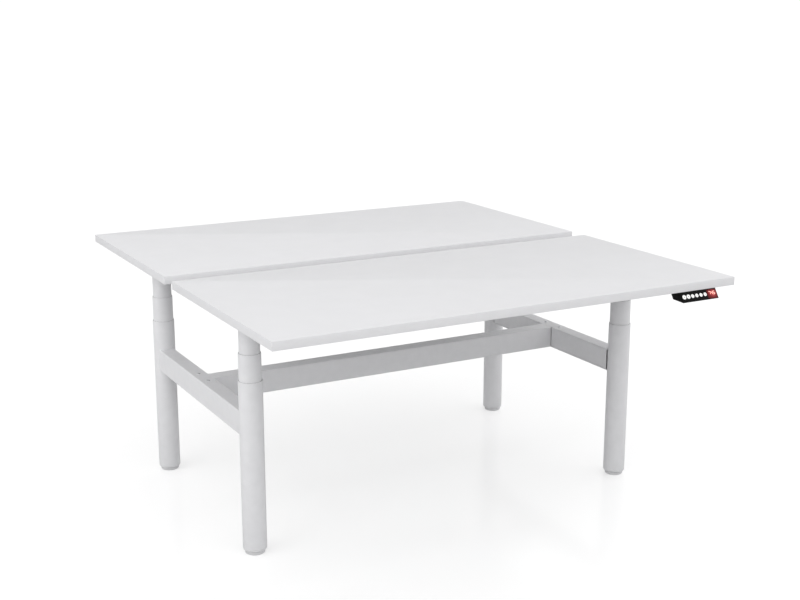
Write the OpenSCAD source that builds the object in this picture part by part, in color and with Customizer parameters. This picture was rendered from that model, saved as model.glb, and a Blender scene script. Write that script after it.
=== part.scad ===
// Electric height-adjustable bench desk: two tops, back to back, on one floor frame
// with four round telescopic columns. Each top has its own lift, control box and handset.
// Origin at the middle of the footprint on the floor, +X to the right along the front
// edge, +Y to the back, +Z up. Millimetres.

/* [Tops] */
// Length of each top along its front edge
top_l = 1500; // [1300:10:1800]
// Depth of each top
top_d = 750; // [700:10:850]
// Thickness of each top
top_t = 25; // [22:1:30]
// Gap between the two tops
top_gap = 70; // [50:5:120]
// Radius of the upright corners of a top
top_corner_r = 1.5; // [1:0.5:10]

/* [Lift] */
// Height of the work surface as drawn
surface_h = 745; // [650:5:1200]
// Height of the work surface with its columns closed
lowest_h = 605; // [600:5:640]
// Travel of the work surface
stroke = 650; // [560:10:650]
// Height of mid tube that shows with the columns closed
mid_lip = 10; // [5:1:20]
// Height of inner tube that shows with the columns closed
inner_lip = 25; // [15:1:30]

/* [Columns] */
// Distance of a column's axis from the end of its top
col_inset = 102; // [90:2:160]
// Distance of a column's axis from the inner edge of its top
col_set_y = 343; // [300:1:370]
// Outer diameter of the outer tube
outer_d = 70; // [66:1:76]
// Wall of each tube
tube_wall = 1.5; // [1.2:0.1:2]
// Wall of the guide sleeves between the tubes
guide_t = 0.7; // [0.5:0.1:1]
// Length of the guide sleeves
guide_l = 38; // [20:1:60]

/* [Feet] */
// Diameter of a levelling glide
glide_d = 58; // [46:1:60]
// Height of a levelling glide
glide_h = 9; // [6:0.5:12]
// Diameter of a glide's stud
stud_d = 8; // [6:1:10]
// Height of a glide's stud above its disc
stud_l = 36; // [30:1:40]
// Height of the foot cap below the tube
cap_lip = 9; // [9:0.5:12]
// Rounding of the foot cap's lower edge
cap_r = 8; // [3:0.5:8.5]
// Height of the foot cap's plug inside the tube
cap_plug = 10; // [8:1:14]

/* [Floor frame] */
// Height of the rails' top face above the floor
rail_top = 425; // [380:5:440]
// Height of the rails and the beam
rail_h = 72; // [60:1:90]
// Width of a rail
rail_w = 48; // [44:1:50]
// Distance that a rail's middle stands outside its columns' axes
rail_shift = 3; // [0:1:5]
// Width of the centre beam
beam_w = 54; // [38:1:60]
// Sheet of the rails and the beam
sheet = 2; // [1.5:0.1:2.5]
// Sheet of the rail covers
cover_sheet = 1.5; // [1:0.1:2]
// Depth of the rail covers' folded edges
cover_fold = 12; // [8:1:14]
// Gap between a rail cover and its column
cover_gap = 3; // [0.3:0.1:8]
// Thickness of the beam's lid
lid_t = 2; // [1.5:0.1:3]
// Depth of the lid's folded edges
lid_fold = 12; // [8:1:20]
// Thickness of a joint bracket
bracket_t = 4; // [3:0.5:6]
// Half length of a joint bracket inside the rail
bracket_half = 60; // [55:1:100]
// Distance that a joint bracket reaches into the beam from the rail
bracket_reach = 90; // [70:1:140]
// Distance of a rail screw from the beam's side
rail_screw_gap = 14; // [6.5:0.5:20]
// Thread diameter of the frame screws
frame_screw_d = 5; // [4:0.5:6]

/* [Screw drive] */
// Thread diameter of the hollow base screw
base_screw_d = 18; // [17:0.5:20]
// Bore of the hollow base screw
base_screw_bore = 12.4; // [12:0.2:13]
// Thread diameter of the rotating screw tube
screw_tube_d = 26; // [26:0.5:30]
// Diameter of the screw tube's two collars
collar_d = 34; // [32:1:38]
// Width across flats of the drive rod
rod_flats = 9.5; // [8:0.5:9.5]
// Length of the nut in the screw tube
base_nut_l = 30; // [20:1:36]
// Length of the nut in the inner tube
lift_nut_l = 22; // [16:1:30]
// Length of the bearing plug in the mid tube
bearing_l = 14; // [10:1:20]
// Length of the gearbox
gearbox_l = 35; // [25:1:45]
// Diameter of the motor
motor_d = 46; // [36:1:46]

/* [Underframe] */
// Length of a support arm
arm_l = 560; // [480:10:600]
// Height of a support arm
arm_h = 25; // [24:1:30]
// Width of a support arm between its lips
arm_w = 44; // [44:1:60]
// Width of each lip of a support arm
arm_lip = 11; // [10:0.5:16]
// Sheet of a support arm
arm_sheet = 2.5; // [2:0.1:3]
// Length of the taper at each end of a support arm
arm_taper = 120; // [60:5:160]
// Height of a support arm's end
arm_end_h = 12; // [8:1:18]
// Width of a crossbar
bar_w = 40; // [30:1:50]
// Height of a crossbar
bar_h = 19; // [15:1:19]
// Wall of a crossbar
bar_wall = 1.5; // [1.2:0.1:2.5]
// Distance between the two crossbars' axes
bar_spread = 220; // [190:5:280]
// Thickness of a column's head plate
head_t = 4; // [3:0.5:6]
// Shank diameter of the wood screws
wood_screw_d = 4; // [3.5:0.5:5]
// Length that a wood screw bites into the top
wood_bite = 14; // [10:1:16]
// Shank diameter of the head plate bolts
head_bolt_d = 6; // [5:0.5:7]

/* [Control box] */
// Length of the control box
ctrl_l = 260; // [200:5:320]
// Depth of the control box
ctrl_d = 90; // [76:1:96]
// Height of the control box
ctrl_h = 34; // [28:1:44]
// Rounding of the control box's corners
ctrl_r = 6; // [2:0.5:10]
// Length of each ear of the control box
ear_l = 16; // [14:1:24]
// Thickness of the ears
ear_t = 3; // [2:0.5:5]
// Width of the mains inlet
inlet_w = 24; // [18:1:28]
// Height of the mains inlet
inlet_h = 16; // [10:1:18]
// Depth of the mains inlet
inlet_deep = 16; // [10:1:22]
// Width of a plug port
port_w = 12; // [8:0.5:13]
// Height of a plug port
port_h = 9; // [6:0.5:12]
// Depth of a plug port
port_deep = 12; // [6:0.5:16]

/* [Handset] */
// Length of the handset
handset_l = 136; // [136:1:160]
// Distance of the handset's end from the end of the top
handset_inset = 75; // [40:1:140]
// Distance that the sloping face comes forward of the top's edge
face_out = 18.5; // [12:0.5:24]
// Height of the sloping face
face_drop = 28; // [24:0.5:30]
// Depth of the handset along its underside
case_under = 46.5; // [40:0.5:56]
// Depth of the handset along its top
case_over = 45; // [40:0.5:60]
// Rise of the underside towards the back
case_rise = 1; // [0:0.5:6]
// Diameter of the up and down buttons
big_button_d = 13.5; // [12:0.5:14]
// Diameter of the memory buttons
small_button_d = 11.5; // [8:0.5:12.5]
// Distance between two buttons
button_pitch = 15.8; // [15:0.1:16.1]
// Distance of the first button from the handset's end
button_start = 11.1; // [9:0.1:11.4]
// Height of the buttons' row above the middle of the face
button_up = 1.2; // [0:0.1:3]
// Travel of a button
button_travel = 1; // [0.5:0.1:1.4]
// Depth of a button's well
button_well = 3.5; // [3:0.1:5]
// Height that a button stands proud of the face
button_proud = 0.6; // [0.3:0.1:1]
// Length of the display window
display_l = 36; // [20:0.5:36]
// Thickness of the display window
display_t = 2; // [1:0.1:3]
// Margin round the display window
display_margin = 2; // [1:0.1:4]

/* [Clearances] */
// Running clearance between bodies that move
run = 0.3; // [0.2:0.05:0.4]
// Clearance round threads, bearings and shanks
fit = 0.1; // [0.05:0.01:0.1]
// Gap under a piece that is screwed or clipped down
seat = 0.3; // [0.1:0.05:0.4]

/* [Hidden] */
$fn = 96;

// The four columns and the two desks
FL = [-1, -1];
FR = [1, -1];
RL = [-1, 1];
RR = [1, 1];
COLUMNS = [FL, FR, RL, RR];
ENDS = [-1, 1];
FRONT = 0;
REAR = 180;

// Plan
col_x = top_l / 2 - col_inset;
col_y = top_gap / 2 + col_set_y;
top_y0 = -top_gap / 2 - top_d;
top_y = -top_gap / 2 - top_d / 2;

// Radii of the telescope, each stage inside the last with a guide sleeve between
outer_r = outer_d / 2;
outer_ri = outer_r - tube_wall;
mid_r = outer_ri - guide_t - run;
mid_ri = mid_r - tube_wall;
inner_r = mid_ri - guide_t - run;
inner_ri = inner_r - tube_wall;

// Heights of the feet
cap_z0 = glide_h + seat;
cap_z1 = cap_z0 + cap_lip;
cap_top = cap_z1 + cap_plug;

// Heights with the columns closed
up = surface_h - lowest_h;
stage = stroke / 2;
col_top = lowest_h - top_t - arm_h;
outer_top = col_top - inner_lip - mid_lip;
flange_t = 4;
low_gap = 2.7;
collar_t = 3;
collar_show = 5;
screw_low = cap_top + flange_t + low_gap;
mid_low = screw_low + collar_show;
mid_top = outer_top + mid_lip;
plug_flange = 3;
nut_gap = 1.7;
inner_low = mid_low + bearing_l + run + collar_t + nut_gap + plug_flange;
screw_spare = 5;
base_screw_top = screw_low + stage + base_nut_l + screw_spare;
hex_l = 30;
hex_low = base_screw_top + 2 * screw_spare;
screw_high = hex_low + hex_l;
rod_bite = 25;
rod_low = screw_high - rod_bite - stage;
gearbox_low = screw_high + screw_spare;
journal_d = 10;
journal_l = 15;

// Floor frame
rail_z0 = rail_top - rail_h;
rail_x = col_x + rail_shift;
rail_in = rail_x - rail_w / 2;
rail_out = rail_x + rail_w / 2;
beam_half = rail_in - fit;
cover_edge_x = col_x - rail_in - cover_fold;
cover_y1 = col_y - sqrt(outer_r * outer_r - cover_edge_x * cover_edge_x) - cover_gap;
cover_y0 = beam_w / 2 + seat;
rail_screw_y = beam_w / 2 + rail_screw_gap;
floor_screw_inset = [30, 65];
screw_head_h = 2.6;

// Desk
under_z = surface_h - top_t;
arm_z0 = under_z - arm_h;
arm_half = arm_w / 2 + arm_lip;
head_bolt_x = 13;
head_bolt_y = inner_r + 7;
lip_screw_y = arm_l / 2 - 18;
lip_screw_x = arm_w / 2 + arm_lip / 2;
bar_top = under_z - arm_sheet - fit;
bar_half = col_x - arm_w / 2 - fit;
ear_y = ctrl_d / 2 - 12;

// Handset, in the plane across the top's edge
handset_x1 = top_l / 2 - handset_inset;
handset_x0 = handset_x1 - handset_l;
face_len = sqrt(face_out * face_out + face_drop * face_drop);
face_tilt = atan2(face_out, face_drop);
button_row = face_len / 2 + button_up;
case_screw_in = 24;
case_screw_x = 14;

// A round tube standing on z0
module tube(r, ri, z0, z1) {
    translate([0, 0, z0])
        difference() {
            cylinder(h = z1 - z0, r = r);
            translate([0, 0, -1]) cylinder(h = z1 - z0 + 2, r = ri);
        }
}

// A rectangle with round corners, centred
module round_rect(l, d, r) {
    square([l - 2 * r, d], center = true);
    square([l, d - 2 * r], center = true);
    for (x = ENDS, y = ENDS)
        translate([x * (l / 2 - r), y * (d / 2 - r)]) circle(r = r);
}

// A screw whose head hangs below z = 0 and whose shank rises from it
module screw_up(d, shank, head_h = screw_head_h) {
    cylinder(h = shank, d = d);
    translate([0, 0, -head_h])
        difference() {
            cylinder(h = head_h, d1 = 1.6 * d, d2 = 2 * d);
            translate([0, 0, -1]) cylinder(h = 1 + head_h / 2, d = 0.7 * d, $fn = 6);
        }
}

// The same screw from above
module screw_down(d, shank, head_h = screw_head_h) {
    mirror([0, 0, 1]) screw_up(d, shank, head_h);
}

// Children placed on a column's axis
module at_column(c) {
    translate([c[0] * col_x, c[1] * col_y, 0]) children();
}

// Children placed on both columns of the front desk
module at_front_columns() {
    for (c = [FL, FR]) at_column(c) children();
}

// Outer tube, fixed to the floor frame
module outer_tube(c) {
    color("gainsboro") at_column(c) tube(outer_r, outer_ri, cap_z1, outer_top);
}

// Guide sleeve in the top of each outer tube
module outer_guides() {
    color("dimgray")
        for (c = COLUMNS) at_column(c)
            tube(outer_ri - fit / 2, mid_r + run, outer_top - guide_l - 2, outer_top - 2);
}

// Rounded cap that closes the bottom of each outer tube and holds the glide's stud
module foot_caps() {
    color("gainsboro") for (c = COLUMNS) at_column(c) foot_cap();
}

module foot_cap() {
    plug_r = outer_ri - fit;
    translate([0, 0, cap_z0])
        difference() {
            rotate_extrude() {
                square([outer_r - cap_r, cap_lip]);
                translate([0, cap_r]) square([outer_r, cap_lip - cap_r]);
                translate([outer_r - cap_r, cap_r])
                    intersection() {
                        circle(r = cap_r);
                        translate([0, -cap_r]) square(cap_r);
                    }
                square([plug_r, cap_lip + cap_plug]);
            }
            translate([0, 0, -1])
                cylinder(h = cap_lip + cap_plug + 2, d = stud_d + 2 * fit);
        }
}

// Levelling glide: a disc with bevelled edges on a threaded stud
module glide(c) {
    bevel = 1.2;
    color("darkgray") at_column(c)
        rotate_extrude()
            polygon([
                [0, 0],
                [glide_d / 2 - bevel, 0],
                [glide_d / 2, bevel],
                [glide_d / 2, glide_h - bevel],
                [glide_d / 2 - bevel, glide_h],
                [stud_d / 2, glide_h],
                [stud_d / 2, glide_h + stud_l - bevel],
                [stud_d / 2 - bevel, glide_h + stud_l],
                [0, glide_h + stud_l]
            ]);
}

// Hollow screw that stands on each foot cap and doesn't turn
module base_screws() {
    color("silver")
        for (c = COLUMNS) at_column(c) {
            difference() {
                union() {
                    translate([0, 0, cap_top]) cylinder(h = flange_t, d = base_screw_d + 10);
                    translate([0, 0, cap_top])
                        cylinder(h = base_screw_top - cap_top, d = base_screw_d);
                }
                translate([0, 0, cap_top - 1])
                    cylinder(h = base_screw_top - cap_top + 2, d = base_screw_bore);
            }
        }
}

// Mid tube, with its bearing plug at the bottom and its guide sleeve at the top
module mid_tube(c) {
    color("gainsboro")
        at_column(c) translate([0, 0, up / 2]) {
            tube(mid_r, mid_ri, mid_low, mid_top);
            bearing_plug();
            tube(mid_ri - fit / 2, inner_r + run, mid_top - guide_l - 2, mid_top - 2);
        }
}

module bearing_plug() {
    recess = collar_show - low_gap + seat;
    difference() {
        union() {
            translate([0, 0, mid_low - plug_flange])
                cylinder(h = plug_flange - fit, r = outer_ri - run);
            translate([0, 0, mid_low - plug_flange])
                cylinder(h = plug_flange + bearing_l, r = mid_ri - fit);
        }
        translate([0, 0, mid_low - plug_flange - 1])
            cylinder(h = plug_flange + bearing_l + 2, d = screw_tube_d + 2 * fit);
        translate([0, 0, mid_low - plug_flange - 1])
            cylinder(h = 1 + recess + seat, d = collar_d + 2 * run);
    }
}

// Screw tube: turns in the mid tube's bearing, runs up the base screw with the nut in
// its lower end, and drives the inner tube's nut with the thread on its outside
module screw_tube(c) {
    lower_top = mid_low - plug_flange + collar_show - low_gap + seat;
    color("silver")
        at_column(c) translate([0, 0, up / 2])
            difference() {
                union() {
                    translate([0, 0, screw_low])
                        cylinder(h = screw_high - screw_low, d = screw_tube_d);
                    translate([0, 0, screw_low])
                        cylinder(h = lower_top - screw_low, d = collar_d);
                    translate([0, 0, mid_low + bearing_l + run])
                        cylinder(h = collar_t, d = collar_d);
                }
                translate([0, 0, screw_low - 1])
                    cylinder(h = base_nut_l + 2, d = base_screw_d + 2 * fit);
                translate([0, 0, screw_low + base_nut_l])
                    cylinder(h = hex_low - screw_low - base_nut_l, d = base_screw_d + 2.6);
                translate([0, 0, hex_low - 1])
                    cylinder(h = hex_l + 2, d = hex_d(rod_flats + 2 * run), $fn = 6);
            }
}

// Diameter across corners of a hexagon with the given width across flats
function hex_d(flats) = 2 * flats / sqrt(3);

// Inner tube, with its head plate at the top and the lift nut at the bottom
module inner_tube(c) {
    color("gainsboro")
        at_column(c) translate([0, 0, up]) {
            difference() {
                union() {
                    tube(inner_r, inner_ri, inner_low, col_top);
                    translate([0, 0, col_top - head_t])
                        linear_extrude(head_t)
                            round_rect(2 * inner_r + 4, 2 * head_bolt_y + 18, 6);
                }
                for (x = ENDS, y = ENDS)
                    translate([x * head_bolt_x, y * head_bolt_y, col_top - head_t - 1])
                        cylinder(h = head_t + 2, d = head_bolt_d + 2 * fit);
            }
            lift_nut();
        }
}

module lift_nut() {
    difference() {
        union() {
            translate([0, 0, inner_low - plug_flange])
                cylinder(h = plug_flange - fit, r = mid_ri - run);
            translate([0, 0, inner_low - plug_flange])
                cylinder(h = plug_flange + lift_nut_l, r = inner_ri - fit);
        }
        translate([0, 0, inner_low - plug_flange - 1])
            cylinder(h = plug_flange + lift_nut_l + 2, d = screw_tube_d + 2 * fit);
    }
}

// Hexagonal rod that the gearbox turns and that slides in the screw tube
module drive_rod(c) {
    color("silver")
        at_column(c) translate([0, 0, up]) {
            translate([0, 0, rod_low])
                cylinder(h = gearbox_low - seat - rod_low, d = hex_d(rod_flats), $fn = 6);
            translate([0, 0, gearbox_low - seat - 1])
                cylinder(h = journal_l + seat + 1, d = journal_d - 2 * fit);
        }
}

// Motor on its gearbox, hanging in the head of each inner tube
module motors(turn) {
    gearbox_top = gearbox_low + gearbox_l;
    motor_top = col_top - head_t - seat;
    color("dimgray") rotate([0, 0, turn]) at_front_columns()
        translate([0, 0, up])
            difference() {
                union() {
                    translate([0, 0, gearbox_low]) cylinder(h = gearbox_l, r = inner_ri - run);
                    translate([0, 0, gearbox_top])
                        cylinder(h = motor_top - gearbox_top, d = motor_d);
                }
                translate([0, 0, gearbox_low - 1]) cylinder(h = journal_l + 2, d = journal_d);
            }
}

// End rail: a folded channel, open towards the middle, coped and welded to its columns
module end_rail(side) {
    color("gainsboro")
        difference() {
            translate([side * rail_x, 0, 0])
                rotate([90, 0, 0])
                    linear_extrude(2 * col_y, center = true)
                        difference() {
                            translate([-rail_w / 2, rail_z0]) square([rail_w, rail_h]);
                            translate([-rail_w / 2 - side * sheet, rail_z0 + sheet])
                                square([rail_w, rail_h - 2 * sheet]);
                        }
            for (y = ENDS)
                at_column([side, y])
                    translate([0, 0, rail_z0 - 1])
                        cylinder(h = rail_h + 2, r = outer_r + fit / 2);
            for (y = ENDS)
                translate([side * rail_x, y * rail_screw_y, rail_top - sheet - 1])
                    cylinder(h = sheet + 2, d = frame_screw_d + 2 * fit);
        }
}

// Four covers that close the inner side of the rails, two to a rail, each folded
// inwards along its top and bottom
module rail_covers() {
    color("silver") for (x = ENDS, y = ENDS) scale([x, y, 1]) rail_cover();
}

module rail_cover() {
    z0 = rail_z0 + sheet + fit;
    h = rail_h - 2 * sheet - 2 * fit;
    len = cover_y1 - cover_y0;
    translate([rail_in, cover_y0, z0])
        difference() {
            cube([cover_fold, len, h]);
            translate([cover_sheet, -1, cover_sheet])
                cube([cover_fold, len + 2, h - 2 * cover_sheet]);
        }
}

// Centre beam: a folded channel, open at the top, that carries cables between the rails
module centre_beam() {
    color("silver")
        difference() {
            translate([-beam_half, -beam_w / 2, rail_z0])
                cube([2 * beam_half, beam_w, rail_h - lid_t - fit]);
            translate([-beam_half - 1, -beam_w / 2 + sheet, rail_z0 + sheet])
                cube([2 * beam_half + 2, beam_w - 2 * sheet, rail_h]);
            for (x = ENDS, inset = floor_screw_inset)
                translate([x * (rail_in - inset), 0, rail_z0 - 1])
                    cylinder(h = sheet + 2, d = frame_screw_d + 2 * fit);
        }
}

// Lid along the whole beam, flush with the rails; its two folded edges reach down
// between the beam's walls
module beam_lid() {
    fold_out = beam_w / 2 - sheet - fit;
    color("gainsboro") {
        translate([-beam_half, -beam_w / 2, rail_top - lid_t]) cube([2 * beam_half, beam_w, lid_t]);
        for (y = [-fold_out, fold_out - lid_t])
            translate([1 - beam_half, y, rail_top - lid_fold])
                cube([2 * beam_half - 2, lid_t, lid_fold - lid_t / 2]);
    }
}

// Folded bracket that ties each end of the beam to its rail
module beam_brackets() {
    color("silver") for (x = ENDS) scale([x, 1, 1]) beam_bracket();
}

module beam_bracket() {
    x0 = rail_in - bracket_reach;
    x1 = rail_out - sheet - fit;
    z0 = rail_z0 + sheet;
    z1 = rail_top - sheet - fit;
    half = beam_w / 2 - sheet - fit;
    leaf_x = rail_in + cover_fold + 2;
    difference() {
        union() {
            translate([x0, -half, z0]) cube([x1 - x0, 2 * half, bracket_t]);
            translate([x1 - bracket_t, -half, z0]) cube([bracket_t, 2 * half, z1 - z0]);
            translate([leaf_x, -bracket_half, z1 - bracket_t])
                cube([x1 - leaf_x, 2 * bracket_half, bracket_t]);
        }
        for (inset = floor_screw_inset)
            translate([rail_in - inset, 0, z0 - 1])
                cylinder(h = bracket_t + 2, d = frame_screw_d + 2 * fit);
        for (y = ENDS)
            translate([rail_x, y * rail_screw_y, z1 - bracket_t - 1])
                cylinder(h = bracket_t + 2, d = frame_screw_d + 2 * fit);
    }
}

// Screws through the rails' top and through the beam's floor into the brackets
module frame_screws() {
    grip = sheet + bracket_t;
    color("dimgray")
        for (x = ENDS) {
            for (y = ENDS)
                translate([x * rail_x, y * rail_screw_y, rail_top])
                    screw_down(frame_screw_d, grip);
            for (inset = floor_screw_inset)
                translate([x * (rail_in - inset), 0, rail_z0])
                    screw_up(frame_screw_d, grip);
        }
}

// One top, with blind pilot holes for every screw that enters it from below
module tabletop(turn) {
    color("whitesmoke") rotate([0, 0, turn])
        difference() {
            translate([0, top_y, under_z])
                linear_extrude(top_t) round_rect(top_l, top_d, top_corner_r);
            translate([0, 0, under_z - 1])
                at_wood_screws() cylinder(h = wood_bite + 2, d = wood_screw_d + 2 * fit);
        }
}

// Children at each wood screw of the front desk
module at_wood_screws() {
    at_arm_screws() children();
    at_ear_screws() children();
    at_handset_screws() children();
}

module at_arm_screws() {
    for (x = ENDS, side = ENDS, y = ENDS)
        translate([x * col_x + side * lip_screw_x, top_y + y * lip_screw_y, 0]) children();
}

module at_ear_screws() {
    for (x = ENDS, y = ENDS)
        translate([x * (ctrl_l / 2 + ear_l / 2), top_y + y * ear_y, 0]) children();
}

module at_handset_screws() {
    for (x = [handset_x0 + case_screw_x, handset_x1 - case_screw_x])
        translate([x, top_y0 + case_screw_in, 0]) children();
}

// Two support arms across the columns' heads and two crossbars between them
module underframe(turn) {
    color("gainsboro") rotate([0, 0, turn]) {
        for (x = ENDS) translate([x * col_x, top_y, 0]) support_arm();
        for (y = ENDS) translate([0, top_y + y * bar_spread / 2, 0]) crossbar();
    }
}

// Support arm: a pressed channel with out-turned lips, tapered at both ends
module support_arm() {
    cut = arm_w - 2 * arm_sheet;
    difference() {
        union() {
            arm_side(arm_w, 0);
            translate([-arm_half, -arm_l / 2, under_z - arm_sheet])
                cube([2 * arm_half, arm_l, arm_sheet]);
        }
        arm_side(cut, arm_sheet);
        for (x = ENDS, y = ENDS)
            translate([x * lip_screw_x, y * lip_screw_y, under_z - arm_sheet - 1])
                cylinder(h = arm_sheet + 2, d = wood_screw_d + 2 * fit);
        for (x = ENDS, y = ENDS)
            translate([x * head_bolt_x, -col_y - top_y + y * head_bolt_y, arm_z0 - 1])
                cylinder(h = arm_sheet + 2, d = head_bolt_d + 2 * fit);
    }
}

// The arm's side outline, raised by lift, as a bar of the given width
module arm_side(width, lift) {
    high = arm_h + (lift > 0 ? 1 : 0);
    half = arm_l / 2 - lift;
    rotate([90, 0, 90])
        linear_extrude(width, center = true)
            translate([0, arm_z0])
                polygon([
                    [-half, arm_h - arm_end_h + lift],
                    [-arm_l / 2 + arm_taper, lift],
                    [arm_l / 2 - arm_taper, lift],
                    [half, arm_h - arm_end_h + lift],
                    [half, high],
                    [-half, high]
                ]);
}

// Crossbar: a rectangular tube between the arms
module crossbar() {
    translate([-bar_half, -bar_w / 2, bar_top - bar_h])
        difference() {
            cube([2 * bar_half, bar_w, bar_h]);
            translate([-1, bar_wall, bar_wall])
                cube([2 * bar_half + 2, bar_w - 2 * bar_wall, bar_h - 2 * bar_wall]);
        }
}

// Wood screws into the top, and the bolts that hold the head plates to the arms
module desk_screws(turn) {
    case_head_z = handset_head_z();
    color("dimgray") rotate([0, 0, turn]) {
        translate([0, 0, under_z - arm_sheet])
            at_arm_screws() screw_up(wood_screw_d, arm_sheet + wood_bite);
        translate([0, 0, under_z - ear_t])
            at_ear_screws() screw_up(wood_screw_d, ear_t + wood_bite);
        translate([0, 0, case_head_z])
            at_handset_screws() screw_up(wood_screw_d, under_z - case_head_z + wood_bite);
        at_front_columns()
            for (x = ENDS, y = ENDS)
                translate([x * head_bolt_x, y * head_bolt_y, arm_z0 + arm_sheet])
                    screw_down(head_bolt_d, arm_sheet + head_t, 4);
    }
}

// Control box: a flat housing with screwed ears, a mains inlet and three plug ports
module control_box(turn) {
    gap = (ctrl_d - inlet_w - 3 * port_w) / 5;
    mid_z = under_z - ctrl_h / 2 - seat;
    color("#222222") rotate([0, 0, turn]) translate([0, top_y, 0])
        difference() {
            union() {
                translate([0, 0, under_z - ctrl_h])
                    linear_extrude(ctrl_h) round_rect(ctrl_l, ctrl_d, ctrl_r);
                translate([0, 0, under_z - ear_t])
                    linear_extrude(ear_t) round_rect(ctrl_l + 2 * ear_l, ctrl_d, ctrl_r);
            }
            translate([0, 0, under_z - ear_t - 1])
                for (x = ENDS, y = ENDS)
                    translate([x * (ctrl_l / 2 + ear_l / 2), y * ear_y, 0])
                        cylinder(h = ear_t + 2, d = wood_screw_d + 2 * fit);
            translate([ctrl_l / 2 - inlet_deep, -ctrl_d / 2 + gap, mid_z - inlet_h / 2])
                cube([inlet_deep + 1, inlet_w, inlet_h]);
            for (i = [0:2])
                translate([
                    ctrl_l / 2 - port_deep,
                    -ctrl_d / 2 + 2 * gap + inlet_w + i * (port_w + gap),
                    mid_z - port_h / 2
                ])
                    cube([port_deep + 1, port_w, port_h]);
        }
}

// Height of the seat of the screws that hold the handset
function handset_head_z() = under_z - 8;

// Children placed on the handset's face: x along it from the handset's left end,
// y up it from its lower edge, z out of it
module on_face() {
    translate([handset_x0, top_y0 - face_out, under_z - face_drop])
        rotate([90 - face_tilt, 0, 0]) children();
}

// Distance of button i from the handset's left end, and its diameter
function button_x(i) = button_start + i * button_pitch;
function button_d(i) = i < 2 ? big_button_d : small_button_d;

// Handset case: a wedge under the top's edge, with wells for the buttons and the display
module handset_case(turn) {
    head_z = handset_head_z();
    low_z = under_z - face_drop;
    color("#1a1a1a") rotate([0, 0, turn])
        difference() {
            translate([handset_x0, top_y0, under_z])
                rotate([90, 0, 90])
                    linear_extrude(handset_l)
                        polygon([
                            [0, 0],
                            [-face_out, -face_drop],
                            [case_under - face_out, case_rise - face_drop],
                            [case_over, 0]
                        ]);
            on_face() {
                for (i = [0:5])
                    translate([button_x(i), button_row, -button_well])
                        cylinder(h = button_well + 1, d = button_d(i) + 2 * run);
                translate([
                    handset_l - display_margin - display_l - fit,
                    display_margin - fit,
                    -display_t - fit
                ])
                    cube([display_l + 2 * fit, face_len - 2 * display_margin + 2 * fit, display_t + 1]);
            }
            at_handset_screws() {
                translate([0, 0, low_z]) cylinder(h = face_drop + 1, d = wood_screw_d + 2 * fit);
                translate([0, 0, low_z - 1]) cylinder(h = head_z - low_z + 1, d = 2 * wood_screw_d + 1);
            }
        }
}

// Display window
module display(turn) {
    color("firebrick") rotate([0, 0, turn]) on_face()
        translate([handset_l - display_margin - display_l, display_margin, -display_t])
            cube([display_l, face_len - 2 * display_margin, display_t]);
}

// Push button: a disc with a bevelled rim, standing a little proud of the face
module button(turn, i) {
    bevel = 0.4;
    tall = button_well - button_travel - run + button_proud;
    d = button_d(i);
    color("white") rotate([0, 0, turn]) on_face()
        translate([button_x(i), button_row, button_proud - tall]) {
            cylinder(h = tall - bevel, d = d);
            translate([0, 0, tall - bevel]) cylinder(h = bevel, d1 = d, d2 = d - 2 * bevel);
        }
}

outer_tube(FL);  // outer_tube_fl
outer_tube(FR);  // outer_tube_fr
outer_tube(RL);  // outer_tube_rl
outer_tube(RR);  // outer_tube_rr
mid_tube(FL);  // mid_tube_fl
mid_tube(FR);  // mid_tube_fr
mid_tube(RL);  // mid_tube_rl
mid_tube(RR);  // mid_tube_rr
inner_tube(FL);  // inner_tube_fl
inner_tube(FR);  // inner_tube_fr
inner_tube(RL);  // inner_tube_rl
inner_tube(RR);  // inner_tube_rr
screw_tube(FL);  // screw_tube_fl
screw_tube(FR);  // screw_tube_fr
screw_tube(RL);  // screw_tube_rl
screw_tube(RR);  // screw_tube_rr
drive_rod(FL);  // drive_rod_fl
drive_rod(FR);  // drive_rod_fr
drive_rod(RL);  // drive_rod_rl
drive_rod(RR);  // drive_rod_rr
glide(FL);  // glide_fl
glide(FR);  // glide_fr
glide(RL);  // glide_rl
glide(RR);  // glide_rr
foot_caps();
base_screws();
outer_guides();
end_rail(-1);  // end_rail_left
end_rail(1);  // end_rail_right
rail_covers();
centre_beam();
beam_lid();
beam_brackets();
frame_screws();
tabletop(FRONT);  // tabletop_front
tabletop(REAR);  // tabletop_rear
underframe(FRONT);  // underframe_front
underframe(REAR);  // underframe_rear
motors(FRONT);  // motors_front
motors(REAR);  // motors_rear
control_box(FRONT);  // control_box_front
control_box(REAR);  // control_box_rear
handset_case(FRONT);  // handset_case_front
handset_case(REAR);  // handset_case_rear
display(FRONT);  // display_front
display(REAR);  // display_rear
desk_screws(FRONT);  // desk_screws_front
desk_screws(REAR);  // desk_screws_rear
button(FRONT, 0);  // button_up_front
button(FRONT, 1);  // button_down_front
button(FRONT, 2);  // button_1_front
button(FRONT, 3);  // button_2_front
button(FRONT, 4);  // button_3_front
button(FRONT, 5);  // button_4_front
button(REAR, 0);  // button_up_rear
button(REAR, 1);  // button_down_rear
button(REAR, 2);  // button_1_rear
button(REAR, 3);  // button_2_rear
button(REAR, 4);  // button_3_rear
button(REAR, 5);  // button_4_rear
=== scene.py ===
"""Seen pieces, finishes and studio of an electric standing desk: two desks back to back on one frame."""

import math

import bmesh
import bpy
from bpy.props import FloatProperty, FloatVectorProperty, PointerProperty
from bpy.types import Operator, Panel, PropertyGroup
from mathutils import Matrix, Vector


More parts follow.
